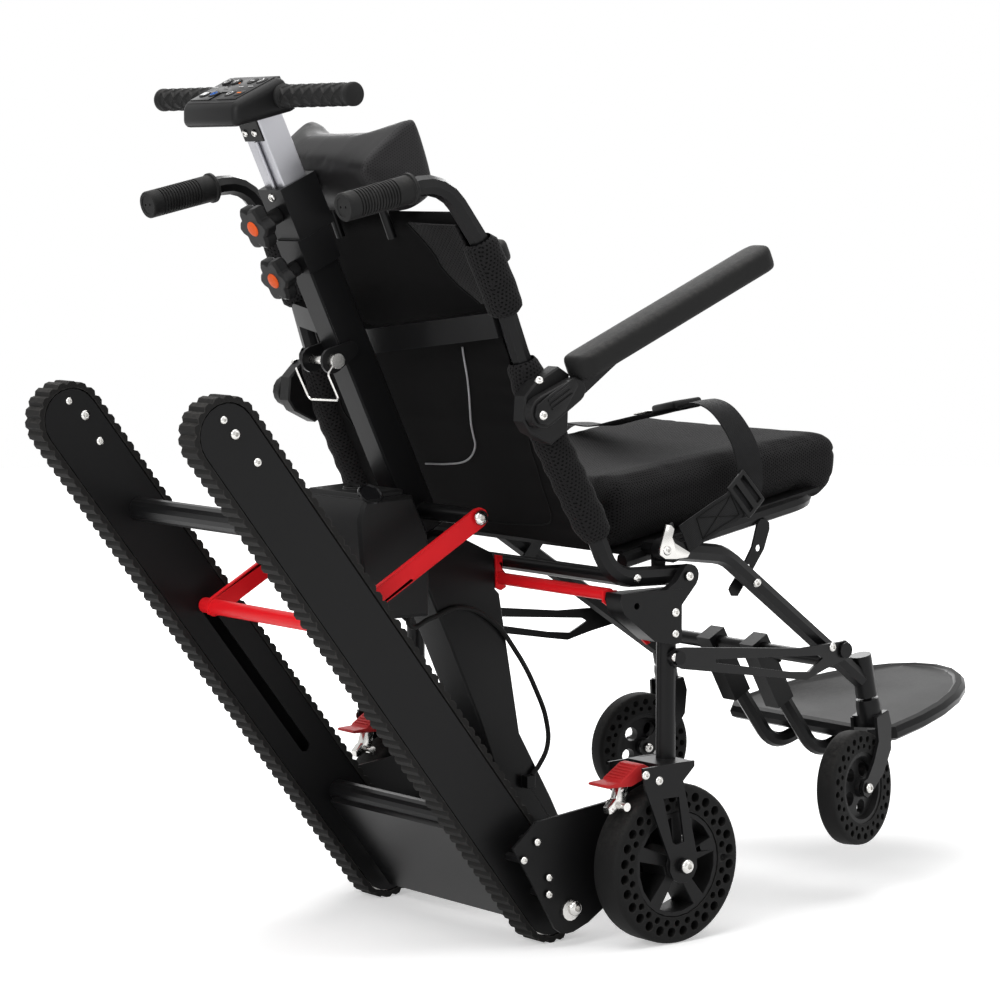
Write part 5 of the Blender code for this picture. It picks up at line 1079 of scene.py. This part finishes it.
def tyre(centre, axis, outer, inner, width, edge):
    """A tyre with rounded shoulders and a rib at its bead."""
    half = width / 2
    shape = ((inner, half), (inner + 0.0015, half + 0.0002), (outer - edge, half),
             (outer - 0.45 * edge, half - 0.12 * edge), (outer - 0.12 * edge, half - 0.45 * edge),
             (outer, half - edge), (outer, 0.0), (outer, edge - half),
             (outer - 0.12 * edge, 0.45 * edge - half), (outer - 0.45 * edge, 0.12 * edge - half),
             (outer - edge, -half), (inner + 0.0015, -half - 0.0002), (inner, -half), (inner, half))
    profile = [(radius, (along + half) / width) for radius, along in shape]
    return turned(profile, centre - axis * half, centre + axis * half, 72)


for name, s in SIDES:
    centre, axis = at(s * WHEEL_X, *AXLE), Vector((1, 0, 0))
    ring = tyre(centre, axis, 0.100, 0.0664, 0.0456, 0.007)
    rods = [rod for row, hole, phase in HOLE_ROWS for rod in holes_through(centre, row, hole, 28, phase, axis, 0.03)]
    cut_away(ring, join(rods))
    settle(ring, name + "_honeycomb_tyre", name + "_wheel", TYRE, (name + "_rear_tyre",), 35)

# %% [markdown]
# Rubber grips slide over the tube ends. The push grips have narrow rings to stop a hand slipping, a collar
# at the root and a flat cap with two small holes. The grips on the handle bar have raised ribs that
# slant both ways and cross, as two sets of screw threads would.

# %% Push grips


def rings(angle, along):
    """Narrow rings on a push grip, with a smooth strip near its cap."""
    if along < 0.026 or along > 0.086:
        return 0.0
    return -0.0017 if along % 0.0042 > 0.0025 else 0.0


for name, s in SIDES:
    corner, tip = Vector((s * 0.213, 0.304, 0.943)), Vector((s * 0.213, 0.4390, 0.9128))
    run = (tip - corner).normalized()
    root, end = at(*(corner + run * 0.046)), at(*(tip + run * 0.008))
    length = (end - root).length
    steps = [(0.0128, 0.0), (0.0180, 0.0), (0.0192, 0.012), (0.0192, 0.045), (0.0172, 0.055)]
    steps += [(0.0172, 0.055 + 0.90 * i / 150) for i in range(1, 151)]
    steps += [(0.0172, 0.962), (0.0172, 0.985), (0.0162, 1.0), (0.0120, 1.0), (0.0118, 0.992), (0.0001, 0.992)]
    grip = turned([(0.0001, 0.02), (0.0128, 0.02), *steps], root, end, 40, relief=rings)
    pips = []
    for side in (-0.005, 0.005):
        spot = end - run * 0.0014 + Vector((side, 0, 0))
        pips.append(rod_between(spot - run * 0.006, spot + run * 0.006, 0.0016, 10))
    cut_away(grip, join(pips))
    settle(grip, name + "_ringed_grip", "back", GRIP, (name + "_push_grip",), 50)

# %% [markdown]
# The handle bar's two long grips end in a smooth collar on either side of the control box. The same helper
# turns them, and only their rule for the ribs differs. A plain bar joins them inside the box.

# %% Handle bar grips


def lozenges(angle, along):
    """Two sets of raised ribs that cross, over most of a handle grip's length."""
    if along < 0.010 or along > 0.138:
        return 0.0
    ribs = [max(0.0, math.cos(4 * angle + way * along * 300)) ** 5 for way in (-1, 1)]
    return 0.0022 * max(ribs) - 0.0014


BAR_AT = (-0.0293, 0.5381)
grips = []
for name, s in SIDES:
    start, end = column(s * 0.0580, *BAR_AT), column(s * 0.2088, *BAR_AT)
    steps = [(0.0075, 0.0), (0.0138, 0.0), (0.0150, 0.02), (0.0150, 0.045), (0.0136, 0.052)]
    steps += [(0.0134, 0.052 + 0.89 * i / 130) for i in range(1, 131)]
    steps += [(0.0142, 0.955), (0.0142, 0.985), (0.0125, 1.0), (0.0001, 1.0)]
    grips.append(turned(steps, start, end, 56, relief=lozenges))
grips.append(rod_between(column(-0.060, *BAR_AT), column(0.060, *BAR_AT), 0.0080, 24))
settle(join(grips), "handle_grips", "handle", GRIP, ("handle_bar",), 55)

# %% [markdown]
# Flat shapes start as an outline: a filled circle whose points are moved onto it, given a thickness and
# rounded. The case of the control panel is one, with a wide rounding.

# %% Helper: a flat piece from its outline
CASE_OUTLINE = ((0.0487, 0.5322), (0.0360, 0.5600), (-0.0430, 0.5600), (-0.0462, 0.5130))


def flat_piece(outline, low, high, edge=0.0004, segments=2):
    """A plate across the chair, with its outline in places behind the axle and heights."""
    bpy.ops.mesh.primitive_circle_add(vertices=len(outline), radius=1, fill_type="NGON")
    piece = bpy.context.object
    for vertex, (y, z) in zip(piece.data.vertices, outline):
        vertex.co = at((low + high) / 2, y, z)
    modify(piece, "SOLIDIFY", thickness=abs(high - low), offset=0.0)
    close(piece)
    return modify(piece, "BEVEL", width=edge, segments=segments, limit_method="ANGLE", angle_limit=math.radians(25))


# %% [markdown]
# The control panel is a thin plate of glossy plastic in the box's top, with round keys and small printed
# marks. What each key says on the real one is left out: the marks are plain bars, rings and dots.

# %% Control panel


def plain_colour(name, colour, roughness):
    """A printed mark: an even colour with a fine grain in its gloss."""
    return hard_finish(name, colour, roughness, 1200.0, 0.00001, worn=colour, wear=0.0, dust=0.02)


MARK_WHITE = plain_colour("white_print", (0.75, 0.75, 0.75), 0.5)
MARK_ORANGE = plain_colour("orange_print", (0.85, 0.20, 0.02), 0.5)
MARK_BLUE = plain_colour("blue_print", (0.02, 0.16, 0.62), 0.5)
GLOSS = hard_finish("glossy_panel", (0.010, 0.010, 0.011), 0.16, 500.0, 0.00001, worn=(0.03, 0.03, 0.03), wear=0.1,
                    dust=0.02)
PANEL_TURN = Matrix.Translation(column(0, 0, 0.5600)) @ Matrix.Rotation(-COLUMN_LEAN, 4, "X")


def on_panel(piece, x, back, lift):
    """Moves a piece made at the origin to a place on the box's top."""
    piece.matrix_world = PANEL_TURN @ Matrix.Translation((x, back, lift))
    return piece


case = flat_piece([(p.y - AXLE_Y, p.z) for p in (column(0, *q) for q in CASE_OUTLINE)], -0.0600, 0.0600, 0.0105, 5)
face = on_panel(rounded_box((0.098, 0.064, 0.0012), 0.0005, 2), 0, -0.0045, 0.0004)
for piece in (case, face):
    window = on_panel(rounded_box((0.0172, 0.0222, 0.0140), 0.0005, 1), 0, 0.0170, 0.0)
    cut_away(piece, window)
settle(case, "panel_case", "handle", CASE, (), 50)
settle(face, "panel_face", "handle", GLOSS)
KEY_COLUMNS = (-0.0375, -0.0175, 0.0175, 0.0375)
keys = []
for x in KEY_COLUMNS:
    for back in (-0.024, 0.012):
        key = turned(((0.0001, 0), (0.0078, 0), (0.0078, 0.6), (0.0068, 1.0), (0.0001, 0.8)), (0, 0, 0),
                     (0, 0, 0.0014), 28)
        keys.append(on_panel(key, x, back, 0.0008))
settle(join(keys), "panel_keys", "handle", CASE)
print("the panel has", len(keys), "keys")

# %% [markdown]
# Print has no thickness to speak of, but a mark that lay in the key's own face would flicker with it. So
# each mark is a real plate of 0.3 mm, and marks of one colour are joined.

# %% Printed marks


def bar_mark(width, height, x, back, tilt=0.0):
    """A printed bar on the panel."""
    mark = rounded_box((width, height, 0.0003), 0.00008, 1)
    mark.matrix_world = PANEL_TURN @ Matrix.Translation((x, back, 0.0022)) @ Matrix.Rotation(tilt, 4, "Z")
    return mark


def ring_mark(radius, x, back):
    """A printed ring on the panel."""
    mark = turned(((radius - 0.0009, 0), (radius, 0), (radius, 1), (radius - 0.0009, 1), (radius - 0.0009, 0)),
                  (0, 0, 0), (0, 0, 0.0003), 28)
    return on_panel(mark, x, back, 0.0021)


white = [ring_mark(0.0045, 0.0375, -0.024), bar_mark(0.0014, 0.0050, 0.0375, -0.021),
         bar_mark(0.0090, 0.0016, 0.0175, -0.024), bar_mark(0.0016, 0.0090, 0.0175, -0.024),
         bar_mark(0.0090, 0.0016, -0.0175, -0.024), bar_mark(0.0070, 0.0016, -0.0375, -0.0215, 0.8),
         bar_mark(0.0070, 0.0016, -0.0375, -0.0265, -0.8), bar_mark(0.0110, 0.0080, 0.0375, 0.012),
         ring_mark(0.0045, -0.0175, 0.012)]
white += [bar_mark(0.010, 0.0010, x, -0.0060) for x in KEY_COLUMNS]
settle(join(white), "white_marks", "handle", MARK_WHITE)
settle(join([bar_mark(0.0080, 0.0026, -0.0375, 0.012), bar_mark(0.0024, 0.0024, 0.000, -0.0165)]), "orange_marks",
       "handle", MARK_ORANGE)
settle(join([ring_mark(0.0048, 0.0175, 0.012), bar_mark(0.0030, 0.0030, 0.0175, 0.012)]), "blue_marks", "handle",
       MARK_BLUE)

# %% [markdown]
# Each clamp knob has an orange disc let into its middle. It is turned, with a low dome.

# %% Knob discs
REARWARD = Vector((0, 0.9, -0.43)).normalized()
for name, spot in (("upper_knob", (-0.0010, 0.4801, 0.8835)), ("lower_knob", (-0.0010, 0.4509, 0.8205))):
    spot = Vector(spot)
    disc = turned(((0.0001, 0), (0.0098, 0), (0.0098, 0.5), (0.0088, 0.85), (0.0050, 1.0), (0.0001, 1.0)),
                  spot - REARWARD * 0.001, spot + REARWARD * 0.0018, 32)
    settle(disc, name + "_disc", name, ORANGE, angle=50)

# %% [markdown]
# Bright socket screws hold the chair together. One screw is modelled: a turned button head with a six-sided
# socket cut in it. Each place is found by a ray from outside to the solid that carries it, so that every
# head sits flat on its surface, and the copies on one body are joined.

# %% Screws


def screw(radius):
    """A button head with a hex socket, standing on the origin along Z."""
    r = radius
    head = turned(((0.0001, 0), (r, 0), (r, 0.25), (r * 0.94, 0.55), (r * 0.75, 0.85), (r * 0.52, 1.0), (0.0001, 1.0)),
                  (0, 0, 0), (0, 0, r * 0.62), 24)
    bpy.ops.mesh.primitive_cylinder_add(vertices=6, radius=r * 0.42, depth=r * 0.8, location=(0, 0, r * 0.62))
    return cut_away(head, bpy.context.object)


SCREW_RADIUS = 0.006
template = screw(SCREW_RADIUS)


def put_screw(spot, outward, size):
    """A copy of the screw with a head of this radius, standing on a spot and facing outward."""
    copy = template.copy()
    copy.data = template.data.copy()
    bpy.context.scene.collection.objects.link(copy)
    turn = Vector(outward).to_track_quat("Z", "Y").to_matrix().to_4x4()
    copy.matrix_world = Matrix.Translation(spot) @ turn @ Matrix.Scale(size / SCREW_RADIUS, 4)
    return copy


def seated(size, node, origin, direction):
    """A list with a screw where a ray from origin first meets the node, and empty where it meets nothing."""
    direction = Vector(direction).normalized()
    hit, spot, normal, _ = nodes[node].ray_cast(Vector(origin), direction)
    if not hit:
        print("no surface for a screw on", node, "from", [round(v, 4) for v in origin])
        return []
    if normal.dot(direction) > 0:
        normal = -normal
    return [put_screw(spot - normal * 0.0002, normal, size)]


SIDE_SCREWS = (
    ("back", "{}_back", "back_frame", 0.0920, 0.4557, 0.0058),
    ("chassis", "{}_post", "{}_post", 0.0232, 0.4554, 0.0058),
    ("chassis", "{}_post", "{}_post", 0.0440, 0.4118, 0.0058),
    ("chassis", "{}_post", "{}_post", 0.0439, 0.3852, 0.0052),
    ("chassis", "{}_post", "{}_post", 0.1113, 0.2192, 0.0058),
    ("chassis", "{}_post", "{}_post", 0.0900, 0.2102, 0.0058),
    ("chassis", "{}_post", "rear_axle", 0.0496, 0.1000, 0.0092),
    ("legs", "{}_leg", "{}_front_leg", -0.1214, 0.4336, 0.0058),
    ("{}_arm", "{}_arm_stop", "{}_arm_bracket", 0.2436, 0.7041, 0.0056),
    ("track_unit", "{}_track", "{}_mounting_plate", 0.2196, 0.1377, 0.0050),
    ("track_unit", "{}_track", "{}_mounting_plate", 0.2402, 0.1177, 0.0050),
    ("track_unit", "{}_track", "{}_mounting_plate", 0.2013, 0.0917, 0.0050),
    ("track_unit", "{}_track", "{}_mounting_plate", 0.2013, 0.0707, 0.0050),
    ("drive_shaft", "{}_drive", "drive_axle", 0.1630, 0.0491, 0.0095),
    ("track_unit", "{}_track", "{}_track_frame", 0.6468, 0.6702, 0.0050),
    ("track_unit", "{}_track", "{}_track_frame", 0.6314, 0.6531, 0.0066),
    ("track_unit", "{}_track", "{}_track_frame", 0.6010, 0.6194, 0.0056),
    ("chassis", "{}_arm_pivot", "column_tube", 0.2425, 0.5300, 0.0086),
    ("{}_link", "{}_link", "{}_brace_link", 0.0502, 0.3571, 0.0056),
    ("{}_link", "{}_link", "{}_brace_link", -0.2541, 0.3402, 0.0060),
)
OUT_FROM_COLUMN = Vector((0, 0.09, -0.043))
OTHER_SCREWS = (
    ("chassis", "column", "column_tube", Vector((-0.0002, 0.4516, 0.9215)) + OUT_FROM_COLUMN, (0, -0.9, 0.43), 0.0055),
    ("handle", "handle", "control_box", Vector((-0.0080, 0.4813, 0.9989)) + OUT_FROM_COLUMN, (0, -0.9, 0.43), 0.0048),
    ("handle", "handle", "control_box", Vector((0.0120, 0.4813, 0.9989)) + OUT_FROM_COLUMN, (0, -0.9, 0.43), 0.0048),
    ("footrest", "footrest", "footrest_frame", (0.0305, -0.3269, 0.60), (0, 0, -1), 0.0055),
    ("footrest", "footrest", "footrest_frame", (-0.0575, -0.3256, 0.60), (0, 0, -1), 0.0055),
    ("track_unit", "left_track", "left_track_frame", (0.0, 0.6444, 0.6742), (1, 0, 0), 0.0050),
    ("track_unit", "left_track", "left_track_frame", (0.0, 0.6221, 0.6561), (1, 0, 0), 0.0066),
    ("track_unit", "left_track", "left_track_frame", (0.0, 0.6012, 0.6233), (1, 0, 0), 0.0056),
)
gathered = {}
for body, group, node, y, z, size in SIDE_SCREWS:
    for name, s in SIDES:
        screws = seated(size, node.format(name), (s * 0.6, y, z), (-s, 0, 0))
        gathered.setdefault((body.format(name), group.format(name)), []).extend(screws)
for body, group, node, origin, direction, size in OTHER_SCREWS:
    gathered.setdefault((body, group), []).extend(seated(size, node, origin, direction))
for (body, group), copies in gathered.items():
    if copies:
        settle(join(copies), group + "_screws", body, STEEL)
print(sum(len(copies) for copies in gathered.values()), "screws")

# %% [markdown]
# The casters have the same kind of airless tyre on a moulded rim. The rim is one turned section: a hub that
# fills the fork, a thin web and a deep outer ring. Five round windows are cut in the web. A caster stands
# turned on its stem, so its middle and its axle come from the CAD's own joint.

# %% Caster wheels
CASTER_HOLE_ROWS = ((0.0640, 0.0047, 0.0), (0.0545, 0.0034, 0.5))
JOINTS = {joint["name"]: joint for joint in frame["joints"]}
for name, s in SIDES:
    spin = JOINTS[name + "_caster_spin"]
    centre, axis = Vector(spin["pos_m"]), Vector(spin["axis"]).normalized()
    hub = max(abs((v.co - centre).dot(axis)) for v in nodes[name + "_caster_wheel"].data.vertices)
    section = ((0.0045, hub), (0.0115, hub), (0.0125, 0.007), (0.0385, 0.0045), (0.0415, 0.0125), (0.0468, 0.0125),
               (0.0468, -0.0125), (0.0415, -0.0125), (0.0385, -0.0045), (0.0125, -0.007), (0.0115, -hub),
               (0.0045, -hub), (0.0045, hub))
    profile = [(radius, (along + hub) / (2 * hub)) for radius, along in section]
    rim = turned(profile, centre - axis * hub, centre + axis * hub, 60)
    windows = holes_through(centre, 0.0258, 0.0098, 5, 0.0, axis, 0.03)
    cut_away(rim, join(windows))
    settle(rim, name + "_caster_rim", name + "_caster_roller", CASE, (), 35)
    ring = tyre(centre, axis, 0.075, 0.0470, 0.0276, 0.006)
    rods = [rod for row, hole, phase in CASTER_HOLE_ROWS
            for rod in holes_through(centre, row, hole, 24, phase, axis, 0.02)]
    cut_away(ring, join(rods))
    settle(ring, name + "_caster_tyre", name + "_caster_roller", TYRE, (name + "_caster_wheel",), 35)
    heads = [head for way in (-1, 1)
             for head in seated(0.0068, name + "_caster_fork", centre - way * axis * 0.08, way * axis)]
    if heads:
        settle(join(heads), name + "_caster_screws", name + "_caster", STEEL)

# %% [markdown]
# The arm pads are soft foam skins, rounded all over and rounder still at both ends. Each is a tube of
# squarish sections whose width and height shrink on a quarter circle near its ends.

# %% Arm pads
ARM_X = 0.268
PAD_START = Vector((0.1460, 0.7012))
PAD_RISE = math.radians(23.6)
PAD_LENGTH = 0.340
PAD_HALF_WIDTH, PAD_HALF_HEIGHT = 0.0258, 0.0152


def shrink(distance, radius):
    """How much of its size a section keeps this far from a rounded end."""
    left = max(0.0, 1 - distance / radius)
    return math.sqrt(max(0.0, 1 - left * left))


def pad_section(s):
    """The rule that gives the points of one arm pad."""
    forward = Vector((0, -math.cos(PAD_RISE), math.sin(PAD_RISE)))
    upward = Vector((0, math.sin(PAD_RISE), math.cos(PAD_RISE)))

    def spot(u, v):
        share = 0.5 - 0.5 * math.cos(math.pi * v)
        distance = min(share, 1 - share) * PAD_LENGTH
        angle = 2 * math.pi * u
        c, q = math.cos(angle), math.sin(angle)
        wide = PAD_HALF_WIDTH * shrink(distance, 0.024) * math.copysign(abs(c) ** 0.42, c)
        high = PAD_HALF_HEIGHT * shrink(distance, 0.0100) * math.copysign(abs(q) ** 0.48, q)
        crown = 0.0012 * (1 - (wide / 0.026) ** 2) if q > 0 else 0.0
        root = at(s * ARM_X, *PAD_START)
        return root + forward * share * PAD_LENGTH + upward * (0.0140 + high + crown) + Vector((wide, 0, 0))
    return spot


for name, s in SIDES:
    pad = close(lay(56, 72, pad_section(s)), FINE_GAP)
    settle(pad, name + "_arm_pad", name + "_arm", GRIP, (), 60)

# %% [markdown]
# The arm's lever is a ribbed moulding, and the belt hangs on a bright hook plate. Both are flat pieces.

# %% Lever ribs and belt hooks
LEVER_OUTLINE = ((0.1500, 0.6980), (0.1560, 0.7075), (0.1900, 0.6900), (0.2120, 0.6760), (0.2150, 0.6640),
                 (0.2080, 0.6540), (0.1960, 0.6520), (0.1700, 0.6680))
HOOK_OUTLINE = ((0.0016, 0.5202), (-0.0060, 0.5190), (-0.0109, 0.5141), (-0.0077, 0.5040), (-0.0120, 0.4965),
                (-0.0250, 0.4895), (-0.0366, 0.4832), (-0.0330, 0.4775), (-0.0150, 0.4765), (0.0034, 0.4779),
                (0.0121, 0.4834), (0.0118, 0.4920), (0.0060, 0.5080))
for name, s in SIDES:
    lever = flat_piece(LEVER_OUTLINE, s * 0.2762, s * 0.2800, 0.0008)
    ribs = []
    for shift in (-0.0060, 0.0, 0.0060):
        rib = rounded_box((0.0026, 0.0360, 0.0030), 0.0007, 2)
        rib.rotation_euler = (-0.50, 0, 0)
        rib.location = at(s * 0.2806, 0.1780 + shift * 0.48, 0.6845 + shift * 0.88)
        ribs.append(rib)
    settle(join([lever, *ribs]), name + "_lever_cover", name + "_arm", CASE)
    pivot = put_screw(at(s * 0.2799, 0.2045, 0.6640), (s, 0, 0), SCREW_RADIUS)
    settle(pivot, name + "_arm_screw", name + "_arm", STEEL)
    hook = flat_piece(HOOK_OUTLINE, s * 0.2664, s * 0.2690, 0.0005)
    head = put_screw(at(s * 0.2688, 0.0010, 0.4880), (s, 0, 0), SCREW_RADIUS)
    settle(join([hook, head]), name + "_belt_hook", "legs", STEEL)

# %% [markdown]
# Each foot brake is a red moulded pedal with ribs across its sloping tread, on a bright pressed bracket
# whose round shoe bears on the tyre. Both are flat pieces across the wheel, one wide and one narrow.

# %% Foot brakes
PEDAL_OUTLINE = ((0.0400, 0.2240), (0.0520, 0.2300), (0.0600, 0.2290), (0.0850, 0.2130), (0.0870, 0.2100),
                 (0.1080, 0.2090), (0.1105, 0.2070), (0.1080, 0.2048), (0.0700, 0.2040), (0.0480, 0.2120))
BRACKET_OUTLINE = ((0.0660, 0.2050), (0.0800, 0.2050), (0.0850, 0.1880), (0.0960, 0.1780), (0.0950, 0.1700),
                   (0.0880, 0.1710), (0.0850, 0.1740), (0.0760, 0.1735), (0.0700, 0.1760))
TREAD_RIBS = 6
for name, s in SIDES:
    pedal = flat_piece(PEDAL_OUTLINE, s * 0.2495, s * 0.2865, 0.0014)
    ribs = []
    for k in range(TREAD_RIBS):
        share = k / (TREAD_RIBS - 1)
        rib = rounded_box((0.0300, 0.0020, 0.0022), 0.0005, 1)
        rib.rotation_euler = (-0.57, 0, 0)
        rib.location = at(s * WHEEL_X, 0.0620 + 0.0210 * share, 0.2281 - 0.0134 * share)
        ribs.append(rib)
    settle(join([pedal, *ribs]), name + "_foot_pedal", name + "_brake", RED_MOULDED,
           (name + "_brake_pedal",))
    bracket = flat_piece(BRACKET_OUTLINE, s * 0.2620, s * 0.2740, 0.0008)
    shoe = rod_between(at(s * 0.2505, 0.0770, 0.1790), at(s * 0.2855, 0.0770, 0.1790), 0.0054, 20)
    heads = [put_screw(at(s * 0.2738, y, z), (s, 0, 0), 0.45 * SCREW_RADIUS)
             for y, z in ((0.0905, 0.1745), (0.0755, 0.1985))]
    settle(join([bracket, shoe, *heads]), name + "_brake_bracket", name + "_brake", STEEL)
bpy.data.objects.remove(template)

# %% [markdown]
# The battery's cover has a round lid of glossy black plastic, let into its sloping top.

# %% Battery lid
_, spot, normal, _ = nodes["battery_box"].ray_cast(Vector((-0.0595, 0.3497, 0.9)), Vector((0, 0, -1)))
lid = turned(((0.0001, 0), (0.0165, 0), (0.0165, 0.7), (0.0150, 1.0), (0.0136, 0.8), (0.0130, 0.5), (0.0001, 0.5)),
             spot - normal * 0.001, spot + normal * 0.0026, 40)
settle(lid, "battery_lid", "chassis", GLOSS, angle=30)

# %% [markdown]
# The footplate is bare moulded plastic, duller than the painted tube round it. It is part of one CAD solid
# with that tube, so the faces that look straight up get a second finish.

# %% Footplate
PLATE = hard_finish("footplate_plastic", (0.0060, 0.0060, 0.0062), 0.50, 1400.0, 0.00005, worn=(0.05, 0.05, 0.05),
                    dust=0.04)
PLATE.node_tree.nodes["Principled BSDF"].inputs["Specular IOR Level"].default_value = 0.56 * MIRROR
footrest = nodes["footrest_frame"].data
footrest.materials.append(PLATE)
count = 0
for face in footrest.polygons:
    if face.normal.z > 0.9 and face.center.z < 0.26:
        face.material_index = 1
        count += 1
print("the footplate's top has", count, "faces")

# %% [markdown]
# The CAD's own solids have sharp edges, and real sheet metal and mouldings don't: their edges have a small
# radius that catches the light. A live Weld and Bevel give the look without touching the mesh.

# %% Rounded edges on the CAD's solids
ROUNDED = {
    0.0010: (*pair("post", "front_leg", "brace_link", "mounting_plate", "caster_fork"), "lower_column", "column_tube",
             "front_cross_tube", "seat_frame", "footrest_frame", "back_frame", "red_cross_frame", "red_folding_arm",
             "drive_unit", "handle_tube", "travel_switch"),
    0.0020: (*pair("arm_bracket", "rear_rim"), "upper_clamp_knob", "lower_clamp_knob"),
    0.0045: (*pair("armrest"), "battery_box"),
    0.0060: ("control_box",),
}
for width, names in ROUNDED.items():
    for name in names:
        solid = alone(nodes[name])
        bpy.ops.mesh.customdata_custom_splitnormals_clear()
        bpy.ops.object.shade_smooth()
        weld = solid.modifiers.new("weld", "WELD")
        weld.merge_threshold = FINE_GAP
        round_off = solid.modifiers.new("round_off", "BEVEL")
        round_off.limit_method = "ANGLE"
        round_off.angle_limit = math.radians(35)
        round_off.width = width
        round_off.segments = 2
        round_off.harden_normals = True
print(sum(len(names) for names in ROUNDED.values()), "solids have rounded edges")

# %% [markdown]
# The picture has a white background that must not light the chair. A light path tells what kind of ray
# asks: the camera's own rays, and those that metal and glass send on, meet white. All others meet the
# dimmer room, so the chair keeps its shadow and its deep blacks.

# %% Helper: rays that see the backdrop


def background_rays(tree):
    """1 for the rays that should meet the white backdrop, and 0 for the rest."""
    rays = add(tree, "LightPath")
    shiny = add(tree, "Math", operation="MAXIMUM")
    chosen = add(tree, "Math", operation="MAXIMUM")
    wire(tree, (rays.outputs["Is Camera Ray"], shiny.inputs[0]), (rays.outputs["Is Glossy Ray"], shiny.inputs[1]),
         (shiny.outputs[0], chosen.inputs[0]), (rays.outputs["Is Transmission Ray"], chosen.inputs[1]))
    return chosen.outputs[0]


# %% [markdown]
# The floor is pale paper that catches the chair's shadow. For those same rays it glows more and more with
# the distance from the chair, so that it runs into the white backdrop with no line between them.

# %% Floor
bpy.ops.object.select_all(action="DESELECT")
bpy.ops.mesh.primitive_circle_add(vertices=96, radius=7.0, fill_type="NGON", location=(0, 0, 0))
floor = bpy.context.object
floor.name = "floor"
floor_paper = bpy.data.materials.new("floor_paper")
floor_paper.use_nodes = True
paper = floor_paper.node_tree
sheet = paper.nodes["Principled BSDF"]
for socket, value in {"Base Color": (0.92, 0.92, 0.92, 1), "Roughness": 0.9, "Specular IOR Level": 0.1,
                      "Emission Color": (1, 1, 1, 1)}.items():
    sheet.inputs[socket].default_value = value
place = add(paper, "TexCoord")
away = add(paper, "VectorMath", operation="LENGTH")
glow = add(paper, "MapRange", {"From Min": 0.7, "From Max": 2.6, "To Min": 0.40, "To Max": 1.0})
seen = add(paper, "Math", operation="MULTIPLY")
wire(paper, (place.outputs["Object"], away.inputs[0]), (away.outputs["Value"], glow.inputs["Value"]),
     (glow.outputs[0], seen.inputs[0]), (background_rays(paper), seen.inputs[1]),
     (seen.outputs[0], sheet.inputs["Emission Strength"]))
floor.data.materials.append(floor_paper)
print("the floor is", round(floor.dimensions.x, 1), "metres wide")

# %% [markdown]
# Four large square lamps light the chair softly. One hangs overhead. The key stands behind the chair, so
# that tops and rear faces catch it, and two weaker ones draw the sides and the far edges.

# %% Lamps
LAMPS = (("overhead", (0.0, 0.3, 3.6), (0, 0.1, 0), 4.0, 115), ("key", (-1.4, 3.4, 2.0), (0, 0.1, 0.6), 1.6, 52),
         ("side", (-3.2, -1.6, 1.9), (0, 0, 0.5), 1.8, 14), ("rim", (2.6, -2.2, 2.2), (0, 0, 0.6), 1.6, 34))


def softbox(name, spot, aim, size, watts):
    """A square area light that faces a point."""
    data = bpy.data.lights.new(name, "AREA")
    data.shape = "SQUARE"
    data.size = size
    data.energy = watts
    lamp = bpy.data.objects.new(name, data)
    lamp.location = spot
    lamp.rotation_euler = (Vector(aim) - Vector(spot)).to_track_quat("-Z", "Y").to_euler()
    bpy.context.scene.collection.objects.link(lamp)
    print(name, "gives", watts, "watts")


for lamp in LAMPS:
    softbox(*lamp)

# %% [markdown]
# The world is the room round the chair: white to the rays that see the backdrop, and a dim even light to
# everything else.

# %% World
world = bpy.data.worlds.new("room")
bpy.context.scene.world = world
world.use_nodes = True
room = world.node_tree
dim = room.nodes["Background"]
dim.inputs["Color"].default_value = (1, 1, 1, 1)
dim.inputs["Strength"].default_value = 0.22
white = add(room, "Background", {"Color": (1, 1, 1, 1), "Strength": 1.0})
choice = add(room, "MixShader")
wire(room, (background_rays(room), choice.inputs[0]), (dim.outputs[0], choice.inputs[1]),
     (white.outputs[0], choice.inputs[2]), (choice.outputs[0], room.nodes["World Output"].inputs["Surface"]))
print("the room's own light is", round(dim.inputs["Strength"].default_value, 2))
